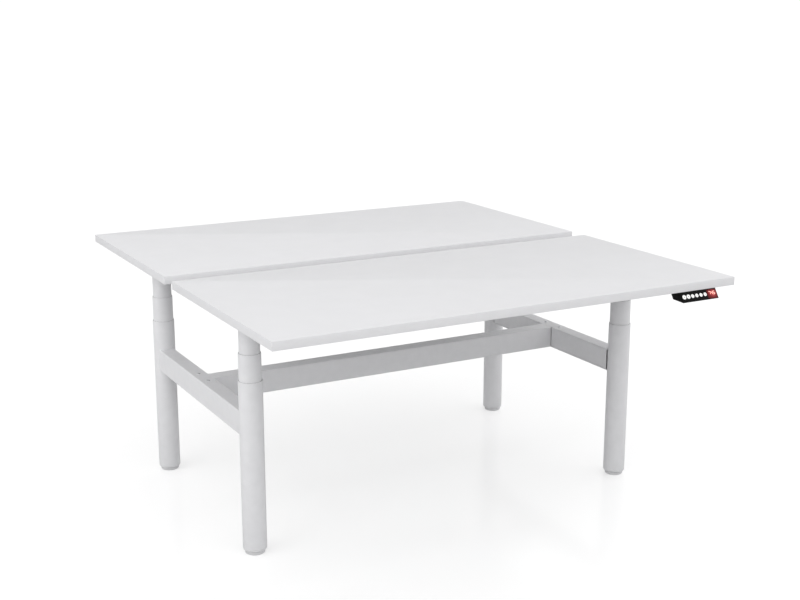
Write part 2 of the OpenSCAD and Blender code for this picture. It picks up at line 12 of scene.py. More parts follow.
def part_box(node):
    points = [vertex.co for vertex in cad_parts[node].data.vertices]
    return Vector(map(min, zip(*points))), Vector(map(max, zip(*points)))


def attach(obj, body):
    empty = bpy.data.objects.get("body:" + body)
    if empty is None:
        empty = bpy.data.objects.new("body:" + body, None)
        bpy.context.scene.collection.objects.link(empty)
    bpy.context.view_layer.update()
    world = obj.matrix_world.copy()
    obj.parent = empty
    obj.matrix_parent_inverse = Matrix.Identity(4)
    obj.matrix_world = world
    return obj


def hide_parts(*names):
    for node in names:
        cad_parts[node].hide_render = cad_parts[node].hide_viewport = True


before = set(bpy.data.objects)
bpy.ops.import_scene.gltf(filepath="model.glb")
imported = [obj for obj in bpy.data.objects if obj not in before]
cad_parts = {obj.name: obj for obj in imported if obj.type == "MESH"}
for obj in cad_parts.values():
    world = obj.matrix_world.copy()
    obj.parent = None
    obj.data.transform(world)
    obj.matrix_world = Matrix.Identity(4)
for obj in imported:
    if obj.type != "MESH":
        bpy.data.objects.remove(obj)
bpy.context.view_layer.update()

bl_info = {
    "name": "Electric Standing Desk",
    "version": (1, 0, 0),
    "blender": (4, 5, 0),
    "location": "3D View > Sidebar > Standing Desk",
    "description": "Builds the seen pieces, the finishes and the studio of a double electric standing desk",
    "category": "Object",
}

MM = 0.001
COLUMNS = ("fl", "fr", "rl", "rr")
DESKS = ("front", "rear")
SIDES = {"left": -1, "right": 1}
ENDS = {"front": -1, "rear": 1}

# Points round a turned piece, a push button and a screw head
ROUND = 96
KEY_ROUND = 64
HEAD_ROUND = 48

# Clearance between seated pieces, half the thickness of a print, and the least angle of a sheet's sharp edge
FIT = 0.1 * MM
PRINT = 0.02 * MM
SHEET_ANGLE = 60


# Sizes and colours that a user would change

def number(name, description, default, **more):
    """A number property that isn't negative."""
    return FloatProperty(name=name, description=description, default=default, **{"min": 0.0, **more})


def length(name, description, default):
    """A size property in metres."""
    return number(name, description, default, unit="LENGTH", precision=5)


def colour(name, description, default):
    """A colour property."""
    return FloatVectorProperty(name=name, description=description, default=default, size=3, min=0.0, max=1.0,
                               subtype="COLOR")


def bearing(name, description, degrees):
    """An angle property, given in degrees."""
    return FloatProperty(name=name, description=description, default=math.radians(degrees), subtype="ANGLE",
                         unit="ROTATION")


class DeskSizes(PropertyGroup):
    """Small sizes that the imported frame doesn't hold."""

    corner: length("Corner", "Rounding of the tops' upright corners", 1.5 * MM)
    edging: length("Edging", "Thickness of the edging round each top", 2.0 * MM)
    arris: length("Arris", "Rounding of the edging's long edges", 0.9 * MM)
    seam: length("Seam", "Width of the joint between the board and its edging", 0.12 * MM)
    tube_wall: length("Tube wall", "Wall of the three column tubes", 1.5 * MM)
    inner_radius: length("Inner tube radius", "Outside radius of the inner tubes", 30.0 * MM)
    rim: length("Rim", "Rounding of the tubes' cut ends", 0.45 * MM)
    sheet: length("Sheet", "Sheet of the rails and the centre beam", 2.0 * MM)
    cover_sheet: length("Cover sheet", "Sheet of the rail covers", 1.5 * MM)
    bend: length("Bend", "Inside radius of the folds", 1.2 * MM)
    weld: length("Weld", "Radius of the weld beads", 1.5 * MM)
    joint: length("Joint", "Gap that shows between the beam and a rail", 1.2 * MM)
    backing: length("Backing", "Thickness of the backing sheet under the tops", 0.6 * MM)
    case_round: length("Case rounding", "Rounding of the handset's edges", 1.5 * MM)
    thread: length("Thread pitch", "Pitch of the glides' studs", 1.25 * MM)


class DeskColours(PropertyGroup):
    """Colours of the finishes."""

    coat: colour("Coat", "Powder coat of the columns and the floor frame", (0.77, 0.77, 0.785))
    board: colour("Board", "Melamine face of the tops", (0.76, 0.76, 0.775))
    band: colour("Edging", "Edging round the tops", (0.76, 0.76, 0.775))
    # The backing's dark grey is painted shade: it throws less light down onto the frame under the tops
    backing: colour("Backing", "Backing sheet under the tops", (0.45, 0.45, 0.46))
    glide: colour("Glide", "Moulded glides", (0.33, 0.33, 0.34))
    # The rings' dark colour is partly painted shade: it stands in for the shade line at each stage joint
    ring: colour("Ring", "Guide rings between the stages", (0.10, 0.10, 0.105))
    black: colour("Black", "Moulded housings", (0.005, 0.005, 0.005))
    key: colour("Key", "Push buttons", (0.85, 0.85, 0.84))
    mark: colour("Mark", "Marks on the push buttons", (0.22, 0.22, 0.23))
    lit: colour("Lit window", "Display window", (0.42, 0.02, 0.03))
    digit: colour("Digit", "Lit digits", (1.0, 0.50, 0.42))
    zinc: colour("Zinc", "Plated screws", (0.62, 0.63, 0.64))
    steel: colour("Steel", "Turned steel", (0.56, 0.56, 0.57))


class StudioSetup(PropertyGroup):
    """Camera and light of the studio."""

    spot: FloatVectorProperty(name="Camera", description="Place of the camera", size=3, subtype="TRANSLATION",
                              unit="LENGTH", default=(-1.9254, -3.5974, 1.6020))
    yaw: bearing("Yaw", "Turn of the camera to the right of the depth axis", 28.598)
    pitch: bearing("Pitch", "Tilt of the camera below level", 13.911)
    lens: number("Lens", "Focal length of the camera in millimetres", 57.80, min=1.0)
    dome: number("Dome", "Strength of the light from all round", 0.67)
    sides: number("Sides", "Strength that the dome gains to the left and the right", 0.67)
    right: number("Right", "Strength that the dome gains to the right", 0.14)
    front: number("Front", "Strength that the dome gains to the front", 0.51)
    key: number("Key", "Power of the soft light from the left", 41.0)
    floor_bounce: number("Floor bounce", "Share of light that the floor throws back", 0.60, max=1.0)
    floor_seen: number("Floor seen", "Lightness of the floor as it is seen", 0.60, max=1.0)
    floor_lift: number("Floor lift", "How far the seen floor is lifted towards white", 0.475)


def sizes():
    """The scene's small sizes."""
    return bpy.context.scene.standing_desk_sizes


def colours():
    """The scene's colours."""
    return bpy.context.scene.standing_desk_colours


def studio():
    """The scene's camera and light."""
    return bpy.context.scene.standing_desk_studio


# Places read from the frame

def middle(node):
    """Centre of a node's box."""
    low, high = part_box(node)
    return (low + high) / 2


def radius_of(node):
    """Outside radius of a round node."""
    low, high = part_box(node)
    return (high.x - low.x) / 2


def axis_of(column):
    """Plan place of a column's axis."""
    centre = middle(f"outer_tube_{column}")
    return Vector((centre.x, centre.y, 0))


def front_way(desk):
    """Matrix that takes the front desk's places to the named desk."""
    return Matrix.Identity(4) if desk == "front" else Matrix.Rotation(math.pi, 4, "Z")


def corners_of(points):
    """Low and high corners of the box round some points."""
    return (Vector([min(p[i] for p in points) for i in range(3)]),
            Vector([max(p[i] for p in points) for i in range(3)]))


def solids_of(node):
    """Low and high corners of each separate solid in a CAD node."""
    mesh = bmesh.new()
    mesh.from_mesh(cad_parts[node].data)
    bmesh.ops.remove_doubles(mesh, verts=mesh.verts, dist=1e-6)
    seen, boxes = set(), []
    for start in mesh.verts:
        if start in seen:
            continue
        stack, island = [start], []
        seen.add(start)
        while stack:
            vert = stack.pop()
            island.append(vert.co.copy())
            fresh = {edge.other_vert(vert) for edge in vert.link_edges} - seen
            seen |= fresh
            stack += fresh
        boxes.append(corners_of(island))
    mesh.free()
    return boxes


# Outlines and meshes

def rounded(corners, steps=4, closed=True):
    """Outline of (u, v, radius) corners with each corner turned into an arc."""
    points = []
    last = len(corners) - 1
    for i, (u, v, radius) in enumerate(corners):
        here = Vector((u, v))
        if radius <= 0 or (not closed and i in (0, last)):
            points.append(here)
            continue
        back = (Vector(corners[i - 1][:2]) - here).normalized()
        ahead = (Vector(corners[(i + 1) % len(corners)][:2]) - here).normalized()
        half = back.angle(ahead) / 2
        centre = here + (back + ahead).normalized() * radius / math.sin(half)
        start = here + back * radius / math.tan(half) - centre
        end = here + ahead * radius / math.tan(half) - centre
        turn = start.angle(end)
        for k in range(steps + 1):
            t = k / steps
            points.append(centre + start * (math.sin((1 - t) * turn) / math.sin(turn))
                          + end * (math.sin(t * turn) / math.sin(turn)))
    return points


def rectangle(low, high, radius, steps=4):
    """Outline of a rectangle with round corners, from its low and high corner."""
    return rounded([(low[0], low[1], radius), (high[0], low[1], radius),
                    (high[0], high[1], radius), (low[0], high[1], radius)], steps)


def circle(centre, radius, height, count=ROUND, reach=None):
    """Ring of points round an upright axis; reach(angle) scales the radius."""
    ring = []
    for k in range(count):
        angle = 2 * math.pi * k / count
        r = radius * (reach(angle) if reach else 1.0)
        ring.append(Vector((centre[0] + r * math.cos(angle), centre[1] + r * math.sin(angle), height)))
    return ring


def subdivided(path, step):
    """Path with points added at steps of about the given length."""
    fine = [path[0]]
    for a, b in zip(path, path[1:]):
        count = max(1, round((b - a).length / step))
        fine += [a.lerp(b, k / count) for k in range(1, count + 1)]
    return fine


def skin(mesh, rings, loop=False, wrap=True):
    """Faces between rings of points; loop joins the last ring to the first and wrap closes each ring."""
    rows = [[mesh.verts.new(point) for point in ring] for ring in rings]
    for one, two in zip(rows, rows[1:] + rows[:1] if loop else rows[1:]):
        count = len(one)
        for i in range(count if wrap else count - 1):
            j = (i + 1) % count
            mesh.faces.new((one[i], one[j], two[j], two[i]))
    return rows


def loft(mesh, rings):
    """Solid between rings of points, filled at both ends."""
    rows = skin(mesh, rings)
    mesh.faces.new(rows[0][::-1])
    mesh.faces.new(rows[-1])


def plate(mesh, outline, levels):
    """Flat solid of one outline between two levels."""
    loft(mesh, [[Vector((u, v, level)) for u, v in outline] for level in levels])


def turned(mesh, centre, corners, steps=3):
    """Turned piece from the (radius, height, rounding) corners of its closed profile."""
    skin(mesh, [circle(centre, r, z) for r, z in rounded(corners, steps)], loop=True)


def slab(mesh, low, high, corner, edge, steps=3):
    """Flat block with round corners in plan and softened top and bottom edges."""
    rings = []
    for z, way in ((low[2], 1), (high[2], -1)):
        level = []
        for k in range(steps + 1):
            angle = math.pi / 2 * k / steps
            inset = edge * (1 - math.sin(angle))
            height = z + way * edge * (1 - math.cos(angle))
            outline = rectangle((low[0] + inset, low[1] + inset), (high[0] - inset, high[1] - inset),
                                max(corner - inset, 0.05 * MM))
            level.append([Vector((p.x, p.y, height)) for p in outline])
        rings += level[::way]
    loft(mesh, rings)


def fold_line(corners, thickness, bend):
    """Both faces of a folded sheet from the corners of its middle line, as two lists of 2-D points."""
    line = rounded([(u, v, bend + thickness / 2) for u, v in corners], 6, closed=False)
    dense = subdivided(line, 4 * MM)
    outer, inner = [], []
    for i, point in enumerate(dense):
        before = dense[max(i - 1, 0)]
        after = dense[min(i + 1, len(dense) - 1)]
        ahead = (after - before).normalized()
        side = Vector((ahead.y, -ahead.x)) * thickness / 2
        outer.append(point + side)
        inner.append(point - side)
    return outer, inner


def side_channel(open_x, web_x, low, high, sheet):
    """Both faces of a folded sheet with its web upright at one side and open at the other."""
    bottom, top = low.z + sheet / 2, high.z - sheet / 2
    return fold_line([(open_x, top), (web_x, top), (web_x, bottom), (open_x, bottom)], sheet, sizes().bend)


def sheet_metal(mesh, faces, stations, place):
    """Folded sheet: place(point, station) puts a 2-D point of either face at a station along the piece."""
    outer, inner = faces
    section = outer + inner[::-1]
    rows = skin(mesh, [[place(point, station) for point in section] for station in stations])
    for row, way in ((rows[0], -1), (rows[-1], 1)):
        for i in range(len(outer) - 1):
            mesh.faces.new((row[i], row[i + 1], row[-2 - i], row[-1 - i])[::way])


def weld_bead(mesh, path, radius, step, count=8):
    """Rippled weld bead along a path."""
    fine = subdivided(path, step)
    rings = []
    for i, point in enumerate(fine):
        ahead = (fine[min(i + 1, len(fine) - 1)] - fine[max(i - 1, 0)]).normalized()
        turn = ahead.to_track_quat("Z", "Y")
        ripple = 0.80 + 0.20 * abs(math.sin(i * 0.9))
        rings.append([point + turn @ p for p in circle((0, 0), radius * ripple, 0, count)])
    loft(mesh, rings)


def cutter_box(mesh, low, high):
    """Plain box that cuts."""
    for vert in bmesh.ops.create_cube(mesh, size=1.0)["verts"]:
        vert.co = Vector([(low[i] + high[i]) / 2 + vert.co[i] * (high[i] - low[i]) for i in range(3)])


def as_object(name, mesh):
    """Object made from mesh code, not yet on any body."""
    bmesh.ops.recalc_face_normals(mesh, faces=mesh.faces)
    data = bpy.data.meshes.new(name)
    mesh.to_mesh(data)
    mesh.free()
    made = bpy.data.objects.new(name, data)
    bpy.context.collection.objects.link(made)
    return made


def soften(piece, width, angle):
    """Bevel on the edges of a piece that are sharper than an angle in degrees."""
    bevel = piece.modifiers.new("soft edges", "BEVEL")
    bevel.width = width
    bevel.segments = 2
    bevel.limit_method = "ANGLE"
    bevel.angle_limit = math.radians(angle)


def carve(piece, cutter):
    """Take the cutter's shape out of a piece and drop the cutter."""
    cut = piece.modifiers.new("wells", "BOOLEAN")
    cut.operation = "DIFFERENCE"
    cut.solver = "EXACT"
    cut.use_self = True
    cut.object = cutter
    view = bpy.context.evaluated_depsgraph_get()
    data = bpy.data.meshes.new_from_object(piece.evaluated_get(view))
    piece.modifiers.clear()
    piece.data = data
    bpy.data.objects.remove(cutter)


def seat_piece(piece, body, slot, paint, replaces=(), way=None, edge=None, smooth=35):
    """Turn a piece to its place, soften its edges, give it its finish and ride it on its body."""
    if way is not None:
        piece.data.transform(way)
    if edge:
        soften(piece, *edge)
    piece.data.materials.clear()
    piece.data.materials.append(paint)
    piece.data.shade_smooth()
    piece.data.set_sharp_from_angle(angle=math.radians(smooth))
    if replaces:
        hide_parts(*replaces)
    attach(piece, body)


def make_piece(name, mesh, body, slot, paint, replaces=(), **more):
    """Seat a piece made from mesh code."""
    seat_piece(as_object(name, mesh), body, slot, paint, replaces, **more)


def coated_piece(name, mesh, body, replaces=(), **more):
    """Seat a powder-coated piece made from mesh code."""
    make_piece(name, mesh, body, "frame_paint", powder_coat(), replaces, **more)


# Shader helpers

def feed(tree, node, **inputs):
    """Link the inputs that are given a socket and set the others; n0 names an input by its number."""
    for key, value in inputs.items():
        socket = node.inputs[int(key[1:])] if key[1:].isdigit() else node.inputs[key.replace("_", " ")]
        if isinstance(value, bpy.types.NodeSocket):
            tree.links.new(value, socket)
        else:
            socket.default_value = value


def add_node(tree, kind, settings=None, **inputs):
    """Add a shader node with its settings and inputs."""
    made = tree.nodes.new("ShaderNode" + kind)
    for key, value in (settings or {}).items():
        setattr(made, key, value)
    feed(tree, made, **inputs)
    return made


def calc(tree, operation, one, two=0.0):
    """Result of one sum."""
    return add_node(tree, "Math", {"operation": operation}, n0=one, n1=two).outputs[0]


def product(tree, one, two):
    """One value times another."""
    return calc(tree, "MULTIPLY", one, two)


def blend_colour(tree, amount, one, two):
    """Colour between two colours."""
    return add_node(tree, "Mix", {"data_type": "RGBA"}, n0=amount, n6=one, n7=two).outputs[2]


def spread(tree, value, low, high, to_low, to_high):
    """Value carried from one range to another and kept inside it."""
    return add_node(tree, "MapRange", Value=value, From_Min=low, From_Max=high,
                    To_Min=to_low, To_Max=to_high).outputs[0]


def between(tree, share, low, high):
    """Value between two values, for a share from nought to one."""
    return spread(tree, share, 0.0, 1.0, low, high)


def own_place(tree):
    """Place in the piece's own frame."""
    return add_node(tree, "TexCoord").outputs["Object"]


def noise(tree, place, scale, detail):
    """Smooth noise at a place."""
    return add_node(tree, "TexNoise", Vector=place, Scale=scale, Detail=detail).outputs[0]


def new_group(name, given, results):
    """New shared effect: its tree, the sockets of its inputs and those of its results."""
    tree = bpy.data.node_groups.new(name, "ShaderNodeTree")
    for label, value in given.items():
        tree.interface.new_socket(label, in_out="INPUT", socket_type="NodeSocketFloat").default_value = value
    for label in results:
        tree.interface.new_socket(label, in_out="OUTPUT", socket_type="NodeSocketFloat")
    return tree, tree.nodes.new("NodeGroupInput").outputs, tree.nodes.new("NodeGroupOutput").inputs


def grain_group():
    """Two noises, coarse and fine: mottle for the colour and a height for the bump."""
    tree, given, result = new_group("Surface grain", {"Coarse": 60.0, "Fine": 900.0, "Stretch": 1.0},
                                    ("Mottle", "Height"))
    stretch = add_node(tree, "CombineXYZ", X=1.0, Y=1.0, Z=given["Stretch"]).outputs[0]
    place = add_node(tree, "VectorMath", {"operation": "MULTIPLY"}, n0=own_place(tree), n1=stretch).outputs[0]
    coarse = noise(tree, place, given["Coarse"], 4.0)
    fine = noise(tree, place, given["Fine"], 2.0)
    tree.links.new(spread(tree, coarse, 0.3, 0.7, 0.0, 1.0), result["Mottle"])
    tree.links.new(calc(tree, "ADD", product(tree, coarse, 0.3), product(tree, fine, 0.7)), result["Height"])
    return tree


def wear_group():
    """Mask of the worn edges, broken up by noise."""
    tree, given, result = new_group("Edge wear", {"Width": 1.2 * MM, "Breaks": 220.0}, ("Mask",))
    wide = add_node(tree, "Bevel", {"samples": 4}, Radius=given["Width"]).outputs[0]
    flat = add_node(tree, "NewGeometry").outputs["Normal"]
    same = add_node(tree, "VectorMath", {"operation": "DOT_PRODUCT"}, n0=wide, n1=flat).outputs["Value"]
    edge = spread(tree, same, 0.99, 0.80, 0.0, 1.0)
    breaks = spread(tree, noise(tree, own_place(tree), given["Breaks"], 3.0), 0.42, 0.62, 0.0, 1.0)
    tree.links.new(product(tree, edge, breaks), result["Mask"])
    return tree


def dust_group():
    """Mask of the thin dust that settles on faces that look up."""
    tree, given, result = new_group("Settled dust", {"Patches": 7.0}, ("Mask",))
    normal = add_node(tree, "NewGeometry").outputs["Normal"]
    up = spread(tree, add_node(tree, "SeparateXYZ", Vector=normal).outputs["Z"], 0.55, 0.95, 0.0, 1.0)
    patches = spread(tree, noise(tree, own_place(tree), given["Patches"], 6.0), 0.40, 0.75, 0.0, 1.0)
    tree.links.new(product(tree, up, patches), result["Mask"])
    return tree


GROUPS = {"Surface grain": grain_group, "Edge wear": wear_group, "Settled dust": dust_group}


def placed(tree, name, **inputs):
    """Results of a shared effect placed in a material with its own values."""
    group = bpy.data.node_groups.get(name) or GROUPS[name]()
    return add_node(tree, "Group", {"node_tree": group}, **inputs).outputs


def grain(tree, coarse, fine, stretch=1.0):
    """Mottle and height of the surface grain."""
    made = placed(tree, "Surface grain", Coarse=coarse, Fine=fine, Stretch=stretch)
    return made["Mottle"], made["Height"]


def edge_wear(tree, width, breaks):
    """Mask of the worn edges."""
    return placed(tree, "Edge wear", Width=width, Breaks=breaks)["Mask"]


def settled_dust(tree, patches):
    """Mask of the settled dust."""
    return placed(tree, "Settled dust", Patches=patches)["Mask"]


def finish(build):
    """Make each material once, under its function's name."""
    def once():
        made = bpy.data.materials.get(build.__name__)
        if made is None:
            made = bpy.data.materials.new(build.__name__)
            made.use_nodes = True
            build(made.node_tree, made.node_tree.nodes["Principled BSDF"])
        return made
    return once


def tint(base, factor):
    """Opaque colour, lighter or darker than the base by a factor."""
    return tuple(min(1.0, c * factor) for c in base) + (1.0,)


def shades(tree, mottle, base, dark, light):
    """Mottled colour between a darker and a lighter tint of the base."""
    return blend_colour(tree, mottle, tint(base, dark), tint(base, light))


def laid_over(tree, paint, mask, share, other):
    """Colour with a share of another laid over it where a mask shows."""
    return blend_colour(tree, product(tree, mask, share), paint, other)


def surface(tree, shader, paint, rough, height, strength, depth):
    """Set the shader's colour and roughness and the bumps of its surface."""
    bumps = add_node(tree, "Bump", Strength=strength, Distance=depth, Height=height).outputs[0]
    feed(tree, shader, Base_Color=paint, Roughness=rough, Normal=bumps)


# Finishes

@finish
def powder_coat(tree, shader):
    """Light grey powder coat: orange peel, slight mottle, thin coat on the edges, a breath of dust."""
    base = colours().coat
    mottle, height = grain(tree, 38.0, 620.0)
    dust = settled_dust(tree, 9.0)
    paint = shades(tree, mottle, base, 0.975, 1.015)
    paint = laid_over(tree, paint, edge_wear(tree, 1.4 * MM, 260.0), 0.30, tint(base, 1.12))
    paint = laid_over(tree, paint, dust, 0.10, (0.66, 0.64, 0.60, 1.0))
    rough = calc(tree, "ADD", between(tree, mottle, 0.40, 0.50), product(tree, dust, 0.12))
    surface(tree, shader, paint, rough, height, 0.10, 0.25 * MM)


@finish
def melamine_face(tree, shader):
    """Light melamine: fine pearl emboss, faint mottle and wipe marks."""
    mottle, height = grain(tree, 14.0, 1400.0)
    wipes = grain(tree, 3.0, 45.0)[0]
    paper = shades(tree, mottle, colours().board, 0.988, 1.008)
    paper = laid_over(tree, paper, settled_dust(tree, 5.0), 0.04, (0.70, 0.69, 0.66, 1.0))
    surface(tree, shader, paper, between(tree, wipes, 0.44, 0.54), height, 0.07, 0.15 * MM)


@finish
def edging_strip(tree, shader):
    """Moulded edging: fine drawn lines along the strip and slightly worn arrises."""
    base = colours().band
    mottle, height = grain(tree, 24.0, 900.0, 3.0)
    strip = shades(tree, mottle, base, 0.982, 1.012)
    strip = laid_over(tree, strip, edge_wear(tree, 1.0 * MM, 140.0), 0.22, tint(base, 1.10))
    surface(tree, shader, strip, between(tree, mottle, 0.34, 0.42), height, 0.06, 0.12 * MM)


@finish
def shade_backing_sheet(tree, shader):
    """Grey backing laminate: sanded grain, faint mottle and scuffs along the top. Its dark grey is painted
    shade that dims the light thrown down onto the frame under the tops.
    """
    mottle, height = grain(tree, 9.0, 700.0)
    scuffs = grain(tree, 4.0, 60.0, 6.0)[0]
    sheet = shades(tree, mottle, colours().backing, 0.96, 1.04)
    surface(tree, shader, sheet, between(tree, scuffs, 0.55, 0.70), height, 0.10, 0.2 * MM)


def moulded(tree, shader, base, roughness, grit, wear_share):
    """Moulded plastic: spark-eroded grit, slight flow mottle and rubbed edges."""
    mottle, height = grain(tree, grit / 12, grit)
    plastic = shades(tree, mottle, base, 0.90, 1.12)
    plastic = laid_over(tree, plastic, edge_wear(tree, 0.6 * MM, 400.0), wear_share, tint(base, 2.2))
    rough = between(tree, mottle, roughness - 0.05, roughness + 0.05)
    surface(tree, shader, plastic, rough, height, 0.22, 0.12 * MM)


@finish
def black_housing(tree, shader):
    """Black moulded housing."""
    moulded(tree, shader, colours().black, 0.42, 1600.0, 0.30)
    feed(tree, shader, Specular_IOR_Level=0.06)


@finish
def glide_plastic(tree, shader):
    """Grey moulded glide."""
    moulded(tree, shader, colours().glide, 0.48, 1300.0, 0.25)


@finish
def ring_plastic_and_shade_line(tree, shader):
    """Dark moulded guide ring. Its darkness is also painted shade that stands in for the shade line at each
    stage joint.
    """
    moulded(tree, shader, colours().ring, 0.40, 1500.0, 0.20)


@finish
def motor_paint(tree, shader):
    """Black paint on the motors and gearboxes."""
    moulded(tree, shader, (0.03, 0.03, 0.032), 0.38, 700.0, 0.35)


@finish
def key_rubber_painted_glow(tree, shader):
    """White silicone of the push buttons, with a faint painted glow of their own colour."""
    base = colours().key
    mottle, height = grain(tree, 260.0, 2600.0)
    rubber = shades(tree, mottle, base, 0.97, 1.01)
    surface(tree, shader, rubber, between(tree, mottle, 0.50, 0.60), height, 0.15, 0.06 * MM)
    # Painted glow: the keys give off a little of their own colour, with no lamp inside
    feed(tree, shader, Subsurface_Weight=0.08, Subsurface_Radius=(2 * MM, 2 * MM, 2 * MM),
         Emission_Color=tint(base, 1.0), Emission_Strength=0.18)


@finish
def key_print(tree, shader):
    """Grey print on the push buttons."""
    mottle, height = grain(tree, 900.0, 4000.0)
    ink = shades(tree, mottle, colours().mark, 0.85, 1.15)
    surface(tree, shader, ink, between(tree, mottle, 0.5, 0.65), height, 0.1, 0.03 * MM)


def peak(tree, value, low, high, at_low, at_high):
    """Value that rises to one at a place between low and high and falls away to each side of it."""
    top = low + 0.62 * (high - low)
    rise = spread(tree, value, low, top, at_low, 1.0)
    return calc(tree, "MINIMUM", rise, spread(tree, value, top, high, 1.0, at_high))


@finish
def lit_window(tree, shader):
    """Red window lit from behind: brightest round the digits, nearly black at its edges."""
    base = colours().lit
    low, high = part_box("display_front")
    place = add_node(tree, "SeparateXYZ", Vector=own_place(tree)).outputs
    along = calc(tree, "ABSOLUTE", place["X"])
    mottle, height = grain(tree, 300.0, 2500.0)
    glow = product(tree, peak(tree, along, low.x, high.x, 0.12, 0.35),
                   peak(tree, place["Z"], low.z, high.z, 0.0, 0.12))
    glow = product(tree, glow, between(tree, mottle, 0.94, 1.0))
    light = blend_colour(tree, glow, tint(base, 0.04), tint(base, 1.0))
    light = blend_colour(tree, product(tree, glow, glow), light, (0.80, 0.17, 0.15, 1.0))
    surface(tree, shader, tint(base, 0.10), between(tree, mottle, 0.14, 0.20), height, 0.03, 0.03 * MM)
    feed(tree, shader, Emission_Color=light, Emission_Strength=1.0, Specular_IOR_Level=0.15)


@finish
def lit_digit(tree, shader):
    """Lit segments of the digits."""
    base = colours().digit
    light = shades(tree, grain(tree, 1200.0, 5000.0)[0], base, 0.92, 1.0)
    feed(tree, shader, Base_Color=tint(base, 0.5), Emission_Color=light, Emission_Strength=1.7, Roughness=0.3)


def metal(tree, shader, base, roughness, stretch, brushed):
    """Bare or plated metal: fine marks that run round or along it and slight stains."""
    marks, height = grain(tree, 160.0, 1800.0, stretch)
    stains = grain(tree, 45.0, 300.0)[0]
    rough = between(tree, marks, roughness - 0.06, roughness + 0.10)
    surface(tree, shader, shades(tree, stains, base, 0.86, 1.08), rough, height, brushed, 0.05 * MM)
    feed(tree, shader, Metallic=1.0)


@finish
def plated_screw(tree, shader):
    """Zinc plated screws."""
    metal(tree, shader, colours().zinc, 0.30, 1.0, 0.10)


@finish
def turned_steel(tree, shader):
    """Turned and ground steel of the screw drive."""
    metal(tree, shader, colours().steel, 0.28, 14.0, 0.25)


@finish
def contact_brass(tree, shader):
    """Brass contacts in the ports."""
    metal(tree, shader, (0.72, 0.52, 0.22), 0.25, 1.0, 0.08)


@finish
def studio_floor(tree, shader):
    """White floor that bounces light as paint does, mirrors faintly and is seen lifted towards white."""
    setup = studio()
    white = (1.0, 1.0, 1.0)
    seen = add_node(tree, "LightPath").outputs["Is Camera Ray"]
    paint = blend_colour(tree, seen, tint(white, setup.floor_bounce), tint(white, setup.floor_seen))
    lift = blend_colour(tree, seen, tint(white, 0.0), tint(white, setup.floor_lift))
    feed(tree, shader, Base_Color=paint, Emission_Color=lift, Emission_Strength=1.0,
         Roughness=between(tree, grain(tree, 0.6, 30.0)[0], 0.14, 0.17))


# Tops

def build_top(desk):
    """Melamine board with its backing sheet, and the edging round it. The backing's dark grey is painted
    shade for the frame below.
    """
    node, body, slot = f"tabletop_{desk}", f"desk_{desk}", "top_board"
    low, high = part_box(node)
    strip = sizes().edging
    gap = strip + sizes().seam
    under = low.z + sizes().backing
    least, crisp = 0.3 * MM, 0.15 * MM
    layers = (("board", under, high.z, melamine_face(), [node]),
              ("backing", low.z, under, shade_backing_sheet(), []))
    for name, bottom, top, paint, replaces in layers:
        mesh = bmesh.new()
        slab(mesh, (low.x + gap, low.y + gap, bottom), (high.x - gap, high.y - gap, top), least, crisp)
        make_piece(f"top_{name}_{desk}", mesh, body, slot, paint, replaces)

    mesh = bmesh.new()
    arris = sizes().arris
    rings = []
    for inset, z in rounded([(0.0, low.z, arris), (strip, low.z, crisp), (strip, high.z, crisp),
                             (0.0, high.z, arris)], 4):
        outline = rectangle((low.x + inset, low.y + inset), (high.x - inset, high.y - inset),
                            max(sizes().corner - inset, least), 6)
        rings.append([Vector((p.x, p.y, z)) for p in outline])
    skin(mesh, rings, loop=True)
    make_piece(f"top_edging_{desk}", mesh, body, slot, edging_strip())


# Columns

def column_tube(mesh, axis, radius, low, high):
    """Tube with rounded rims; returns its bore's radius."""
    bore = radius - sizes().tube_wall
    rim = sizes().rim
    turned(mesh, axis, [(radius, low, rim), (radius, high, rim), (bore, high, rim), (bore, low, rim)])
    return bore


def plastic_ring(name, axis, body, corners, replaces=()):
    """Turned plastic piece of a column."""
    mesh = bmesh.new()
    turned(mesh, axis, corners)
    make_piece(name, mesh, body, "guide_plastic", ring_plastic_and_shade_line(), replaces)


def guide_ring_and_shade_lip(name, axis, body, low, high, radius, bore, replaces=()):
    """Guide sleeve that ends just above the rim of the tube round it. Its dark lip above the rim is painted
    shade for the line at the joint.
    """
    # Dark lip 2.1 mm above the rim: painted shade for the line at the joint
    rim = high + 2.1 * MM
    soft, crisp = 0.3 * MM, 0.25 * MM
    corners = [(radius, low, soft), (radius, rim, crisp), (bore, rim, crisp), (bore, low, soft)]
    plastic_ring(name, axis, body, corners, replaces)


